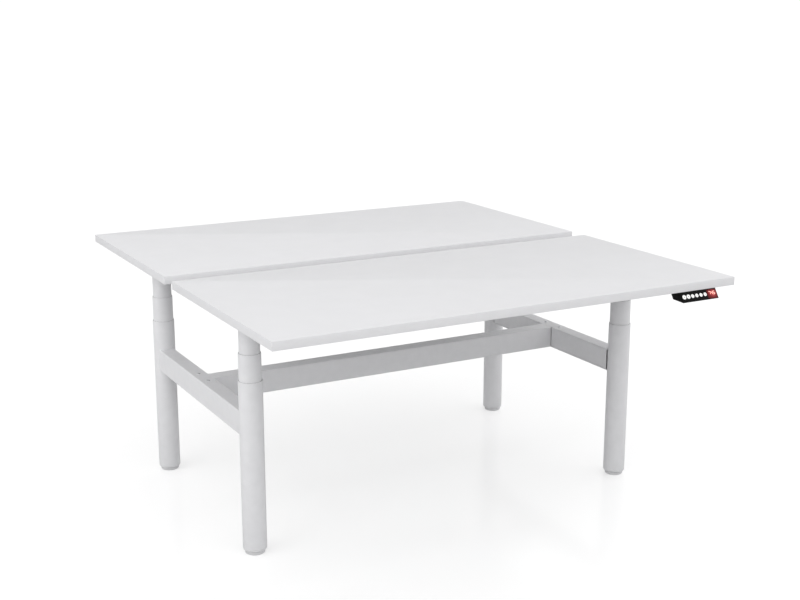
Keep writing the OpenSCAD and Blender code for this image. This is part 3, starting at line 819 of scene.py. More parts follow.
def build_column(column):
    """The three tubes of one column with their guide rings, bearing plug, lift nut and head plate."""
    axis = axis_of(column)
    desk_body = "desk_front" if column[0] == "f" else "desk_rear"
    mid_body = f"mid_{column}"
    inner_radius = sizes().inner_radius
    stage_step, head_plate, bearing, nut = 2.5 * MM, 4.0 * MM, 14.0 * MM, 22.0 * MM
    mid_radius = inner_radius + stage_step
    outer_radius = radius_of(f"outer_tube_{column}")
    slide, play, soft = 0.05 * MM, 0.3 * MM, 0.3 * MM
    flange = 3.0 * MM
    screw_bore = 13.1 * MM

    low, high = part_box(f"outer_tube_{column}")
    mesh = bmesh.new()
    outer_bore = column_tube(mesh, axis, outer_radius, low.z, high.z)
    coated_piece(f"outer_tube_{column}_coat", mesh, "frame", [f"outer_tube_{column}"])
    ring_low, ring_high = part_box("outer_guides")
    guide_ring_and_shade_lip(f"outer_guide_{column}", axis, "frame", ring_low.z, ring_high.z, outer_bore - slide,
               mid_radius + play, ["outer_guides"])

    low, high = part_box(f"mid_tube_{column}")
    sleeve, below_rim = 38.0 * MM, 2 * MM
    mesh = bmesh.new()
    mid_bore = column_tube(mesh, axis, mid_radius, low.z + flange, high.z)
    coated_piece(f"mid_tube_{column}_coat", mesh, mid_body, [f"mid_tube_{column}"])
    guide_ring_and_shade_lip(f"mid_guide_{column}", axis, mid_body, high.z - sleeve - below_rim, high.z - below_rim,
               mid_bore - slide, inner_radius + play)
    shoulder, top = low.z + flange - FIT, low.z + flange + bearing
    collar_bore, collar_top = 17.3 * MM, low.z + 2.9 * MM
    plastic_ring(f"bearing_plug_{column}", axis, mid_body, [
        (outer_bore - play, low.z, soft), (outer_bore - play, shoulder, soft),
        (mid_bore - FIT, shoulder, 0.0), (mid_bore - FIT, top, 0.6 * MM),
        (screw_bore, top, 0.4 * MM), (screw_bore, collar_top, 0.0),
        (collar_bore, collar_top, 0.0), (collar_bore, low.z, soft)])

    low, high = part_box(f"inner_tube_{column}")
    head_low = high.z - head_plate
    mesh = bmesh.new()
    inner_bore = column_tube(mesh, axis, inner_radius, low.z + flange, head_low)
    slab(mesh, (low.x, low.y, head_low), high, 6.0 * MM, 0.5 * MM)
    coated_piece(f"inner_tube_{column}_coat", mesh, desk_body, [f"inner_tube_{column}"])
    shoulder, top = low.z + flange - FIT, low.z + flange + nut
    plastic_ring(f"lift_nut_{column}", axis, desk_body, [
        (mid_bore - play, low.z, soft), (mid_bore - play, shoulder, soft),
        (inner_bore - FIT, shoulder, 0.0), (inner_bore - FIT, top, 0.6 * MM),
        (screw_bore, top, 0.4 * MM), (screw_bore, low.z, soft)])


# Feet

def threaded(mesh, centre, radius, pitch, low, high, depth):
    """Stud with a real helical thread, from low to high."""
    around, per_turn = 36, 10
    rows = max(2, round((high - low) / pitch * per_turn))
    rings = []
    for row in range(rows + 1):
        z = low + (high - low) * row / rows
        taper = min(1.0, (high - z) / pitch + 0.15)
        ring = []
        for k in range(around):
            angle = 2 * math.pi * k / around
            phase = ((z - low) / pitch - k / around) % 1.0
            r = radius - depth * (1 - abs(2 * phase - 1)) - (1 - taper) * depth
            ring.append(Vector((centre[0] + r * math.cos(angle), centre[1] + r * math.sin(angle), z)))
        rings.append(ring)
    loft(mesh, rings)


def build_foot(column):
    """Rounded foot cap and the levelling glide under it."""
    axis = axis_of(column)
    low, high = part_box("foot_caps")
    radius = radius_of(f"outer_tube_{column}")
    spigot = radius - sizes().tube_wall - FIT
    bore, dome, seam, soft = 4.2 * MM, 7.6 * MM, 0.35 * MM, 0.3 * MM
    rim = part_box(f"outer_tube_{column}")[0].z - seam
    mesh = bmesh.new()
    turned(mesh, axis, [(bore, low.z, soft), (radius, low.z, dome), (radius, rim, seam), (spigot, rim, 0.0),
                        (spigot, high.z, 1.2 * MM), (bore, high.z, soft)], 8)
    coated_piece(f"foot_cap_{column}", mesh, "frame", ["foot_caps"])

    node, body = f"glide_{column}", f"foot_{column}"
    low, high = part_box(node)
    radius = radius_of(node)
    tread, stud, dish, rib = radius - 1.5 * MM, 4.0 * MM, 10.0 * MM, 11.0 * MM
    pad, top = low.z + 1.6 * MM, low.z + 9.0 * MM
    floor = top - 1.2 * MM
    mesh = bmesh.new()
    turned(mesh, axis, [(tread, low.z, 0.4 * MM), (tread, pad, 0.0), (radius, pad, 0.5 * MM),
                        (radius, top, 1.4 * MM), (rib, top, 1.0 * MM), (dish, floor, 0.6 * MM),
                        (stud, floor, 0.0), (stud, low.z, 0.0)], 4)
    make_piece(f"glide_{column}_disc", mesh, body, "glide_plastic", glide_plastic(), [node])
    mesh = bmesh.new()
    threaded(mesh, axis, stud, sizes().thread, low.z + 0.5 * MM, high.z, 0.55 * MM)
    make_piece(f"glide_{column}_stud", mesh, body, "steel", turned_steel())


# Floor frame

def cope(x, column, radius):
    """Distance from the middle at which a rail meets the round column, for a place across the rail."""
    off = min(abs(x - column.x), radius)
    return abs(column.y) - math.sqrt(radius * radius - off * off)


def build_rail(side_name):
    """Folded end rail, coped round its columns, with its weld beads."""
    node = f"end_rail_{side_name}"
    low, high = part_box(node)
    side = SIDES[side_name]
    column = axis_of("fr" if side > 0 else "fl")
    radius = radius_of("outer_tube_fr")
    sheet, bead, seam = sizes().sheet, sizes().weld, 0.03 * MM
    sunk, step = 0.3 * bead, 0.7 * MM
    inner_x, outer_x = (low.x, high.x) if side > 0 else (high.x, low.x)
    faces = side_channel(inner_x, outer_x - side * sheet / 2, low, high, sheet)
    mesh = bmesh.new()
    sheet_metal(mesh, faces, (-1, -0.5, 0, 0.5, 1),
                lambda point, share: Vector((point.x, share * cope(point.x, column, radius + seam), point.y)))
    coated_piece(f"{node}_coat", mesh, "frame", [node], edge=(0.35 * MM, SHEET_ANGLE))

    centre = Vector(((low.x + high.x) / 2, (low.z + high.z) / 2))
    outside = [a if (a - centre).length > (b - centre).length else b for a, b in zip(*faces)]
    for end_name, end in ENDS.items():
        mesh = bmesh.new()
        path = [Vector((p.x, end * (cope(p.x, column, radius) - sunk), p.y)) for p in outside]
        weld_bead(mesh, path, bead, step)
        coated_piece(f"rail_weld_{side_name}_{end_name}", mesh, "frame")


def build_rail_covers():
    """Four folded covers with open ends that close the inner side of the rails."""
    low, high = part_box("rail_covers")
    sheet = sizes().cover_sheet
    web_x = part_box("end_rail_right")[0].x + sheet / 2
    inner_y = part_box("centre_beam")[1].y + 0.3 * MM
    faces = side_channel(high.x, web_x, low, high, sheet)
    stations = [inner_y + (high.y - inner_y) * k / 4 for k in range(5)]
    for side_name, side in SIDES.items():
        for end_name, end in ENDS.items():
            mesh = bmesh.new()
            sheet_metal(mesh, faces, stations, lambda point, y: Vector((side * point.x, end * y, point.y)))
            coated_piece(f"rail_cover_{side_name}_{end_name}", mesh, "frame", ["rail_covers"],
                         edge=(0.25 * MM, SHEET_ANGLE))


def build_beam():
    """Centre beam, a folded channel, with its flush lid."""
    low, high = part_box("centre_beam")
    sheet = sizes().sheet
    half = sheet / 2
    end = high.x - sizes().joint
    corners = [(low.y + half, high.z), (low.y + half, low.z + half), (high.y - half, low.z + half),
               (high.y - half, high.z)]
    mesh = bmesh.new()
    sheet_metal(mesh, fold_line(corners, sheet, sizes().bend), (-end, -end / 2, 0, end / 2, end),
                lambda point, x: Vector((x, point.x, point.y)))
    coated_piece("centre_beam_coat", mesh, "frame", ["centre_beam"], edge=(0.35 * MM, SHEET_ANGLE))

    lid_under = high.z + FIT
    low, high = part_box("beam_lid")
    flange_top = (lid_under + high.z) / 2
    flange_y = high.y - sheet - FIT
    inset = 1 * MM
    mesh = bmesh.new()
    slab(mesh, (low.x, low.y, lid_under), high, 0.5 * MM, 0.6 * MM)
    for ys in ((-flange_y, sheet - flange_y), (flange_y - sheet, flange_y)):
        slab(mesh, (low.x + inset, ys[0], low.z), (high.x - inset, ys[1], flange_top), 0.6 * MM, 0.4 * MM)
    coated_piece("beam_lid_coat", mesh, "frame", ["beam_lid"])


# Screws

def hex_reach(angle):
    """Polar outline of a hexagon, as a share of its radius across flats."""
    off = (angle + math.pi / 6) % (math.pi / 3) - math.pi / 6
    return 1 / math.cos(off)


def cross_reach(angle):
    """Polar outline of a cross recess, as a share of its arm's length."""
    off = abs((angle + math.pi / 4) % (math.pi / 2) - math.pi / 4)
    return min(1 / math.cos(off), 0.26 / max(math.sin(off), 1e-6))


def screw(mesh, seat, shank, long, head, tall, recess="hex", turn=1):
    """Screw with a domed head and a recess; turn is 1 where the head looks up and -1 where it looks down."""
    reach, share = (hex_reach, 0.50) if recess == "hex" else (cross_reach, 0.52)
    socket = head * share
    rim = 0.35
    profile = [(shank * 0.55, -long), (shank, -long + shank * 0.6), (shank, 0), (head, 0), (head, rim * tall)]
    profile += [(head * math.cos(a), tall * (rim + (1 - rim) * math.sin(a))) for a in (0.35, 0.7, 1.0)]
    rings = [circle(seat, r, seat.z + turn * z, HEAD_ROUND) for r, z in profile]
    rings += [circle(seat, socket * size, seat.z + turn * tall * level, HEAD_ROUND, reach)
              for size, level in ((1.06, 1.0), (1.0, 0.88), (0.92, 0.45))]
    loft(mesh, rings)


def seat_screws(name, mesh, body, node):
    """Seat a set of plated screws."""
    make_piece(name, mesh, body, "screw_zinc", plated_screw(), [node], smooth=28)


def build_frame_screws():
    """Eight screws that hold the beam's brackets."""
    low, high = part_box("frame_screws")
    rail_low, rail_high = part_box("end_rail_right")
    shank, long, head = 2.5 * MM, 6 * MM, 5 * MM
    bracket_insets = (30 * MM, 65 * MM)
    mesh = bmesh.new()
    for x in (-1, 1):
        for y in (-1, 1):
            seat = Vector((x * (high.x - head), y * (high.y - head), rail_high.z))
            screw(mesh, seat, shank, long, head, high.z - rail_high.z)
        for inset in bracket_insets:
            seat = Vector((x * (rail_low.x - inset), 0, rail_low.z))
            screw(mesh, seat, shank, long, head, rail_low.z - low.z, turn=-1)
    seat_screws("frame_screws_plated", mesh, "frame", "frame_screws")


def build_desk_screws(desk):
    """Wood screws into the top and the bolts of the head plates."""
    node = f"desk_screws_{desk}"
    widest_wood_screw = 10 * MM
    mesh = bmesh.new()
    for low, high in solids_of(node):
        x, y, _ = (low + high) / 2
        long = high.z - low.z
        if high.x - low.x > widest_wood_screw:
            tall = 4 * MM
            screw(mesh, Vector((x, y, high.z - tall)), 3 * MM, long - tall, 6 * MM, tall)
        else:
            tall = 2.6 * MM
            screw(mesh, Vector((x, y, low.z + tall)), 2 * MM, long - tall, 4 * MM, tall, "cross", -1)
    seat_screws(f"desk_screws_{desk}_plated", mesh, f"desk_{desk}", node)


# Underframes

def build_arm(desk, side_name, low, high):
    """Pressed support arm with out-turned lips, shallower towards both closed ends."""
    sheet, bend, lip = 2.5 * MM, 2.0 * MM, 11.0 * MM
    taper, end_depth, end_joint = 120.0 * MM, 12.0 * MM, 0.4 * MM
    half = sheet / 2
    centre = (low + high) / 2
    half_length = (high.y - low.y) / 2
    wall = (high.x - low.x) / 2 - lip - half
    rim, base = high.z - half, low.z + half
    line = [(-wall - lip - half, rim), (-wall, rim), (-wall, base), (wall, base), (wall, rim),
            (wall + lip + half, rim)]
    wall_top, wall_low = high.z - sheet - bend, low.z + sheet + bend

    def place(point, along):
        rise = (high.z - low.z - end_depth) * max(0.0, abs(along) - half_length + taper) / taper
        share = min(1.0, max(0.0, (wall_top - point.y) / (wall_top - wall_low)))
        return Vector((point.x, centre.y + along, point.y + rise * share))

    reach = half_length - end_joint
    knee = half_length - taper
    name, body = f"support_arm_{desk}_{side_name}", f"desk_{desk}"
    mesh = bmesh.new()
    faces = fold_line([(centre.x + x, z) for x, z in line], sheet, bend)
    sheet_metal(mesh, faces, (-reach, -knee, 0, knee, reach), place)
    coated_piece(name, mesh, body, [f"underframe_{desk}"], edge=(0.4 * MM, SHEET_ANGLE))

    mesh = bmesh.new()
    for end in (-1, 1):
        ys = sorted((centre.y + end * half_length, centre.y + end * (half_length - sheet)))
        slab(mesh, (low.x + lip, ys[0], high.z - end_depth), (high.x - lip, ys[1], high.z - FIT),
             1.0 * MM, 0.6 * MM)
    coated_piece(f"{name}_ends", mesh, body)


def build_crossbar(desk, place, low, high):
    """Rectangular tube between the arms, with a weld bead round each end."""
    wall, corner, bead = 1.5 * MM, 3.0 * MM, sizes().weld
    bead_radius, step, around = 0.8 * bead, 0.8 * MM, 6
    name, body = f"crossbar_{desk}_{place}", f"desk_{desk}"
    mesh = bmesh.new()
    rings = []
    for x, inset in ((low.x, 0.0), (high.x, 0.0), (high.x, wall), (low.x, wall)):
        outline = rectangle((low.y + inset, low.z + inset), (high.y - inset, high.z - inset), corner - inset)
        rings.append([Vector((x, p.x, p.y)) for p in outline])
    skin(mesh, rings, loop=True)
    coated_piece(name, mesh, body, [f"underframe_{desk}"])
    mesh = bmesh.new()
    outline = rectangle((low.y, low.z), (high.y, high.z), corner)
    for x in (low.x + 0.5 * bead, high.x - 0.5 * bead):
        path = [Vector((x, p.x, p.y)) for p in outline + outline[:2]]
        weld_bead(mesh, path, bead_radius, step, around)
    coated_piece(f"{name}_welds", mesh, body)


def build_underframe(desk):
    """The two support arms and the two crossbars under one top."""
    top_centre = middle(f"tabletop_{desk}")
    for low, high in solids_of(f"underframe_{desk}"):
        centre = (low + high) / 2
        if high.x - low.x > high.y - low.y:
            build_crossbar(desk, "near" if abs(centre.y) < abs(top_centre.y) else "far", low, high)
        else:
            build_arm(desk, "right" if centre.x > 0 else "left", low, high)


# Control box

def contact(mesh, xs, y, z, half_wide, half_tall, edge):
    """Contact that lies along x in a port."""
    slab(mesh, (xs[0], y - half_wide, z - half_tall), (xs[1], y + half_wide, z + half_tall), edge, edge)


def build_control_box(desk):
    """Flat housing with ears, a parting line, vents, a mains inlet and three ports."""
    body, slot, turn = f"desk_{desk}", "black_plastic", front_way(desk)
    low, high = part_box("control_box_front")
    over, past, ear, ear_thick, ear_inset = 1 * MM, 5 * MM, 16 * MM, 3 * MM, 4 * MM
    x0, x1 = low.x + ear, high.x - ear
    middle_y = (low.y + high.y) / 2
    mid_z = (low.z + high.z) / 2 - 0.3 * MM
    inlet, inlet_deep, inlet_rise = 24 * MM, 16 * MM, 8 * MM
    port, port_deep, port_rise = 12 * MM, 12 * MM, 4.5 * MM
    gap = (high.y - low.y - inlet - 3 * port) / 5
    start = low.y + gap
    ports = [start + inlet + gap + k * (port + gap) for k in range(3)]
    mesh = bmesh.new()
    slab(mesh, (x0, low.y, low.z), (x1, high.y, high.z), 6 * MM, 1.6 * MM, 4)
    shell = as_object(f"control_box_{desk}_shell", mesh)

    cutter = bmesh.new()
    sockets = [(start, inlet, inlet_deep, inlet_rise)] + [(y, port, port_deep, port_rise) for y in ports]
    for y, wide, deep, rise in sockets:
        cutter_box(cutter, (x1 - deep, y, mid_z - rise), (x1 + past, y + wide, mid_z + rise))
    vents, vent, vent_step, vent_reach, vent_deep = 12, 1.1 * MM, 6 * MM, 22 * MM, 1.4 * MM
    for block in (-62 * MM, 62 * MM):
        for k in range(vents):
            x = block + (k - (vents - 1) / 2) * vent_step
            cutter_box(cutter, (x - vent, middle_y - vent_reach, low.z - over),
                       (x + vent, middle_y + vent_reach, low.z + vent_deep))
    groove, seam_drop = 0.5 * MM, 11 * MM
    seam_low = high.z - seam_drop
    for start_x, end_x, start_y, end_y in ((x0 - over, x1 + over, low.y - over, low.y + groove),
                                           (x0 - over, x1 + over, high.y - groove, high.y + over),
                                           (x0 - over, x0 + groove, low.y - over, high.y + over)):
        cutter_box(cutter, (start_x, start_y, seam_low), (end_x, end_y, seam_low + groove))
    carve(shell, as_object("cutter", cutter))
    seat_piece(shell, body, slot, black_housing(), [f"control_box_{desk}"], way=turn, edge=(0.3 * MM, 50))

    mesh = bmesh.new()
    for side in (-1, 1):
        xs = sorted((side * (x1 - ear_inset), side * high.x))
        slab(mesh, (xs[0], low.y + ear_inset, high.z - ear_thick), (xs[1], high.y - ear_inset, high.z - FIT),
             4 * MM, 0.6 * MM)
    make_piece(f"control_box_{desk}_ears", mesh, body, slot, black_housing(), way=turn)

    mesh = bmesh.new()
    blade, blade_wide, blade_tall, soft = (x1 - 15 * MM, x1 - 3 * MM), 1 * MM, 2 * MM, 0.3 * MM
    for off, rise in ((-5.5 * MM, -2 * MM), (5.5 * MM, -2 * MM), (0, 3.5 * MM)):
        contact(mesh, blade, start + inlet / 2 + off, mid_z + rise, blade_wide, blade_tall, soft)
    pin, pitch, level, thin, crisp = (x1 - 11.5 * MM, x1 - 4 * MM), 2.4 * MM, 1.2 * MM, 0.4 * MM, 0.1 * MM
    for y in ports:
        for k in range(4):
            z = mid_z - level if k % 2 else mid_z + level
            contact(mesh, pin, y + pitch + k * pitch, z, thin, thin, crisp)
    make_piece(f"control_box_{desk}_pins", mesh, body, "steel", contact_brass(), way=turn)


# Handset

def face_frame():
    """Matrix of the handset's sloping face: x along it, y up it, z out of it, and the face's length."""
    low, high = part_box("handset_case_front")
    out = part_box("tabletop_front")[0].y - low.y
    drop = high.z - low.z
    up = Vector((0, out, drop)).normalized()
    along = Vector((1, 0, 0))
    matrix = Matrix((along, up, along.cross(up))).transposed().to_4x4()
    matrix.translation = low
    return matrix, math.hypot(out, drop)


def key_layout():
    """Name, place along and up the face and radius of each push button."""
    row = (face_frame()[0].inverted() @ middle("button_up_front")).y
    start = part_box("handset_case_front")[0].x
    for name in ("up", "down", "1", "2", "3", "4"):
        node = f"button_{name}_front"
        yield name, middle(node).x - start, row, radius_of(node)


def window_span():
    """Low and high corners of the display window on the handset's face."""
    low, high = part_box("display_front")
    case_low, case_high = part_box("handset_case_front")
    margin = case_high.x - high.x
    right = case_high.x - case_low.x - margin
    return (right - (high.x - low.x), margin), (right, face_frame()[1] - margin)


def build_case(desk):
    """Wedge-shaped case with a parting line, button wells and a display recess."""
    low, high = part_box("handset_case_front")
    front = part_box("tabletop_front")[0].y
    face, tall = face_frame()
    wide = high.x - low.x
    points = [vert.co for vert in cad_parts["handset_case_front"].data.vertices]
    heel = max((p for p in points if p.z < (low.z + high.z) / 2), key=lambda p: p.y)
    section = [(front, high.z), (low.y, low.z), (heel.y, heel.z), (high.y, high.z)]
    mesh = bmesh.new()
    loft(mesh, [[Vector((x, y, z)) for y, z in section] for x in (low.x, high.x)])
    bmesh.ops.recalc_face_normals(mesh, faces=mesh.faces)
    bmesh.ops.bevel(mesh, geom=list(mesh.edges), offset=sizes().case_round, segments=5, profile=0.5,
                    affect="EDGES", clamp_overlap=True)
    case = as_object(f"handset_{desk}_case", mesh)

    cutter = bmesh.new()
    over, play, well, recess = 1 * MM, 0.3 * MM, 3.5 * MM, 2.1 * MM
    for _, x, row, radius in key_layout():
        loft(cutter, [circle((x, row), radius + play, z, KEY_ROUND) for z in (-well, over)])
    window_low, window_high = window_span()
    cutter_box(cutter, (window_low[0] - FIT, window_low[1] - FIT, -recess),
               (window_high[0] + FIT, window_high[1] + FIT, over))
    deep, slot, groove, past_top, past_heel = 4.0 * MM, 0.35 * MM, 0.45 * MM, 4 * MM, 3 * MM
    underside = face.to_3x3().inverted() @ Vector((0, heel.y - low.y, heel.z - low.z))
    heel_side = deep * underside.y / -underside.z
    for start, end in (((-over, -over), (groove, tall + past_top)),
                       ((wide - groove, -over), (wide + over, tall + past_top)),
                       ((-over, -past_heel), (wide + over, heel_side + groove))):
        cutter_box(cutter, (*start, -deep), (*end, -deep + slot))
    cutter_object = as_object("cutter", cutter)
    cutter_object.data.transform(face)
    carve(case, cutter_object)
    seat_piece(case, f"desk_{desk}", "black_plastic", black_housing(), [f"handset_case_{desk}"],
               way=front_way(desk), edge=(0.2 * MM, 55))


def numeral(mesh, text, size, place):
    """Numeral from the built-in font, as thin solid geometry centred on a place."""
    curve = bpy.data.curves.new("numeral", "FONT")
    curve.body = text
    curve.size = size
    curve.extrude = PRINT
    curve.align_x = "CENTER"
    curve.align_y = "CENTER"
    holder = bpy.data.objects.new("numeral", curve)
    bpy.context.collection.objects.link(holder)
    bpy.context.view_layer.update()
    data = bpy.data.meshes.new_from_object(holder.evaluated_get(bpy.context.evaluated_depsgraph_get()))
    low, high = corners_of([vert.co for vert in data.vertices])
    data.transform(Matrix.Translation(Vector(place) - (low + high) / 2))
    mesh.from_mesh(data)
    bpy.data.objects.remove(holder)
    bpy.data.curves.remove(curve)
    bpy.data.meshes.remove(data)


def arrow(mesh, size, place, way):
    """Triangle arrow that points up or down, as a thin solid."""
    x, y, z = place
    tip = 0.15 * MM
    outline = rounded([(x - size, y - way * size * 0.55, tip), (x + size, y - way * size * 0.55, tip),
                       (x, y + way * size * 0.85, tip)], 3)
    plate(mesh, outline, (z - PRINT, z + PRINT))


def build_keys(desk):
    """Six domed push buttons with their marks."""
    way = front_way(desk) @ face_frame()[0]
    proud, dome, edge, skirt, chamfer = 0.6 * MM, 0.18 * MM, 0.45 * MM, 2.0 * MM, 0.2 * MM
    arrow_size, digit_size = 2.1 * MM, 6.0 * MM
    crown = proud - dome
    shoulder = crown - edge
    for name, x, row, radius in key_layout():
        body = f"key_{name}_{desk}"
        profile = [(radius - chamfer, -skirt - chamfer), (radius, -skirt), (radius, shoulder)]
        profile += [(radius - edge * (1 - math.cos(a)), shoulder + edge * math.sin(a))
                    for a in (0.4, 0.8, 1.2, math.pi / 2)]
        profile += [((radius - edge) * share, crown + dome * (1 - share ** 2))
                    for share in (1 - k / 6 for k in range(1, 6))]
        mesh = bmesh.new()
        loft(mesh, [circle((x, row), r, z, KEY_ROUND) for r, z in profile])
        make_piece(f"button_{name}_{desk}_cap", mesh, body, "button_white", key_rubber_painted_glow(),
                   [f"button_{name}_{desk}"], way=way, smooth=50)
        mesh = bmesh.new()
        place = (x, row, proud)
        if name in ("up", "down"):
            arrow(mesh, arrow_size, place, 1 if name == "up" else -1)
        else:
            numeral(mesh, name, digit_size, place)
        make_piece(f"mark_{name}_{desk}", mesh, body, "glide_plastic", key_print(), way=way)


SEGMENTS = {"4": "bcfg", "5": "acdfg", "7": "abc"}
SEGMENT_PLACES = {"a": (0, 2), "b": (1, 1), "c": (1, -1), "d": (0, -2), "f": (-1, 1), "g": (0, 0)}


def build_display(desk):
    """Lit red window with seven-segment digits."""
    body, slot = f"desk_{desk}", "display_red"
    way = front_way(desk) @ face_frame()[0]
    (x0, y0), (x1, y1) = window_span()
    back, level, raised = -2.0 * MM, -0.15 * MM, 0.03 * MM
    levels = (level - PRINT, level + raised)
    mesh = bmesh.new()
    slab(mesh, (x0, y0, back), (x1, y1, level), 0.8 * MM, 0.25 * MM)
    make_piece(f"display_{desk}_window", mesh, body, slot, lit_window(), [f"display_{desk}"], way=way)

    mesh = bmesh.new()
    digit_wide, digit_tall, digit_step, bar, miter = 5.2 * MM, 9.6 * MM, 8.2 * MM, 1.3 * MM, 0.2 * MM
    centre_x = (x0 + x1) / 2
    centre_y = y0 + 0.61 * (y1 - y0)
    for index, digit in enumerate("745"):
        for segment in SEGMENTS[digit]:
            across, up = SEGMENT_PLACES[segment]
            x = centre_x + (index - 1) * digit_step + across * digit_wide / 2
            y = centre_y + up * digit_tall / 4
            reach = (digit_tall / 2 if across else digit_wide) / 2 - miter
            flat = reach - bar / 2
            outline = [(-reach, 0), (-flat, bar / 2), (flat, bar / 2),
                       (reach, 0), (flat, -bar / 2), (-flat, -bar / 2)]
            plate(mesh, [(x + v, y + u) if across else (x + u, y + v) for u, v in outline], levels)
    point, point_wide = centre_x + 3.5 * MM, 1.2 * MM
    foot = centre_y - digit_tall / 2
    outline = rectangle((point, foot - bar / 2), (point + point_wide, foot + bar / 2), 0.3 * MM, 2)
    plate(mesh, outline, levels)
    make_piece(f"digits_{desk}", mesh, body, slot, lit_digit(), way=way)


# Nodes that keep their CAD shape

def dress_node(name, paint):
    """Give a CAD node its finish."""
    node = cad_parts[name]
    node.data.materials.clear()
    node.data.materials.append(paint)
    for face in node.data.polygons:
        face.material_index = 0


# Studio

def build_floor():
    """Floor that runs out of sight in a wide curve."""
    half, rise, bend, steps = 40.0, 12.0, 10.0, 12
    profile = [(-half, 0.0), (half - bend, 0.0)]
    profile += [(half - bend + bend * math.sin(a), bend - bend * math.cos(a))
                for a in (math.pi / 2 * k / steps for k in range(1, steps + 1))]
    profile.append((half, rise + bend))
    mesh = bmesh.new()
    skin(mesh, [[Vector((x, y, z)) for y, z in profile] for x in (-half, half)], wrap=False)
    floor = as_object("studio_floor", mesh)
    floor.data.shade_smooth()
    floor.data.materials.append(studio_floor())
    floor.data.flip_normals()


def build_light(setup):
    """Dome that is brighter to the front and to both sides, and one wide soft light from the left."""
    world = bpy.data.worlds.new("Dome")
    world.use_nodes = True
    tree = world.node_tree
    way = add_node(tree, "SeparateXYZ", Vector=add_node(tree, "TexCoord").outputs["Generated"]).outputs
    ahead = spread(tree, way["Y"], -1.0, 0.0, setup.front, 0.0)
    aside = calc(tree, "ADD", product(tree, product(tree, way["X"], way["X"]), setup.sides),
                 between(tree, way["X"], 0.0, setup.right))
    strength = calc(tree, "ADD", calc(tree, "ADD", ahead, setup.dome), aside)
    feed(tree, tree.nodes["Background"], Strength=strength, Color=(1.0, 1.0, 1.0, 1.0))
    bpy.context.scene.world = world
    lamp = bpy.data.lights.new("Key", "AREA")
    lamp.shape = "RECTANGLE"
    lamp.size = 4.0
    lamp.size_y = 3.0
    lamp.energy = setup.key
    aim = Vector((0, 0, 0.4))
    key = bpy.data.objects.new("Key", lamp)
    key.location = (-4.5, -0.8, 3.2)
    key.rotation_euler = (aim - key.location).to_track_quat("-Z", "Y").to_euler()
    bpy.context.collection.objects.link(key)


def build_camera(setup):
    """Camera at the photograph's place."""
    lens = bpy.data.cameras.new("Camera")
    lens.lens = setup.lens
    lens.sensor_width = 36.0
    lens.clip_end = 200.0
    camera = bpy.data.objects.new("Camera", lens)
    camera.location = setup.spot
    camera.rotation_euler = (math.pi / 2 - setup.pitch, 0.0, -setup.yaw)
    bpy.context.collection.objects.link(camera)
    bpy.context.scene.camera = camera
    bpy.context.scene.view_settings.view_transform = "Standard"


# Operators

class DESK_OT_studio(Operator):
    """Build the white floor, the soft light and the camera."""

    bl_idname = "standing_desk.studio"
    bl_label = "Studio"

    def execute(self, context):
        build_floor()
        build_light(studio())
        build_camera(studio())
        return {"FINISHED"}


class DESK_OT_tops(Operator):
    """Build both tops with their edging."""

    bl_idname = "standing_desk.tops"
    bl_label = "Tops"

    def execute(self, context):
        for desk in DESKS:
            build_top(desk)
        return {"FINISHED"}


class DESK_OT_columns(Operator):
    """Build the four telescopic columns and finish the screw drives inside them."""

    bl_idname = "standing_desk.columns"
    bl_label = "Columns"

    def execute(self, context):
        for column in COLUMNS:
            build_column(column)
            dress_node(f"screw_tube_{column}", turned_steel())
            dress_node(f"drive_rod_{column}", turned_steel())
        dress_node("base_screws", turned_steel())
        for desk in DESKS:
            dress_node(f"motors_{desk}", motor_paint())
        return {"FINISHED"}


class DESK_OT_feet(Operator):
    """Build the foot caps and the levelling glides."""

    bl_idname = "standing_desk.feet"
    bl_label = "Feet"

    def execute(self, context):
        for column in COLUMNS:
            build_foot(column)
        return {"FINISHED"}


class DESK_OT_floor_frame(Operator):
    """Build the end rails, their covers, the centre beam with its lid, and the screws."""

    bl_idname = "standing_desk.floor_frame"
    bl_label = "Floor frame"

    def execute(self, context):
        for side_name in SIDES:
            build_rail(side_name)
        build_rail_covers()
        build_beam()
        build_frame_screws()
        dress_node("beam_brackets", powder_coat())
        soften(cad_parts["beam_brackets"], 0.4 * MM, 50)
        return {"FINISHED"}


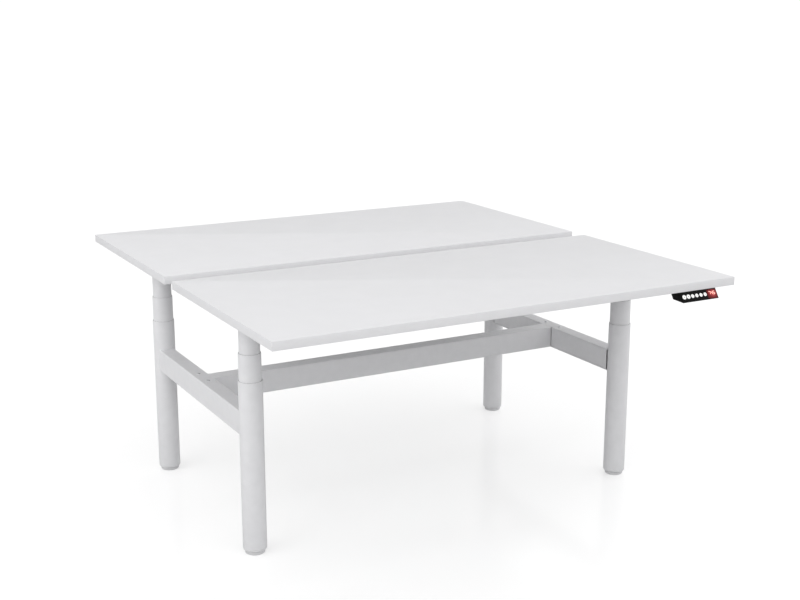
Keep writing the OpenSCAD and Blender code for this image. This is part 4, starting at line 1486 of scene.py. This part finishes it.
class DESK_OT_underframes(Operator):
    """Build the support arms, the crossbars and the screws that hold them."""

    bl_idname = "standing_desk.underframes"
    bl_label = "Underframes"

    def execute(self, context):
        for desk in DESKS:
            build_underframe(desk)
            build_desk_screws(desk)
        return {"FINISHED"}


class DESK_OT_control_boxes(Operator):
    """Build the control boxes under the tops."""

    bl_idname = "standing_desk.control_boxes"
    bl_label = "Control boxes"

    def execute(self, context):
        for desk in DESKS:
            build_control_box(desk)
        return {"FINISHED"}


class DESK_OT_handsets(Operator):
    """Build the handsets with their buttons and lit displays."""

    bl_idname = "standing_desk.handsets"
    bl_label = "Handsets"

    def execute(self, context):
        for desk in DESKS:
            build_case(desk)
            build_keys(desk)
            build_display(desk)
        return {"FINISHED"}


class DESK_PT_pieces(Panel):
    """Lists the pieces of the standing desk."""

    bl_idname = "DESK_PT_pieces"
    bl_label = "Standing desk"
    bl_space_type = "VIEW_3D"
    bl_region_type = "UI"
    bl_category = "Standing Desk"

    def draw(self, context):
        column = self.layout.column(align=True)
        for operator in OPERATORS:
            column.operator(operator.bl_idname)
        for group in (sizes(), colours(), studio()):
            box = self.layout.box()
            for key in group.__annotations__:
                box.prop(group, key)


OPERATORS = (DESK_OT_studio, DESK_OT_tops, DESK_OT_columns, DESK_OT_feet, DESK_OT_floor_frame,
             DESK_OT_underframes, DESK_OT_control_boxes, DESK_OT_handsets)
CLASSES = (DeskSizes, DeskColours, StudioSetup) + OPERATORS + (DESK_PT_pieces,)


def register():
    """Register the classes and hang the settings on the scene."""
    for item in CLASSES:
        bpy.utils.register_class(item)
    bpy.types.Scene.standing_desk_sizes = PointerProperty(type=DeskSizes)
    bpy.types.Scene.standing_desk_colours = PointerProperty(type=DeskColours)
    bpy.types.Scene.standing_desk_studio = PointerProperty(type=StudioSetup)


def unregister():
    """Take the settings and the classes away again."""
    del bpy.types.Scene.standing_desk_studio
    del bpy.types.Scene.standing_desk_colours
    del bpy.types.Scene.standing_desk_sizes
    for item in reversed(CLASSES):
        bpy.utils.unregister_class(item)


def main():
    """Build the whole scene."""
    register()
    for operator in OPERATORS:
        group, name = operator.bl_idname.split(".")
        getattr(getattr(bpy.ops, group), name)()


if __name__ == "__main__":
    main()
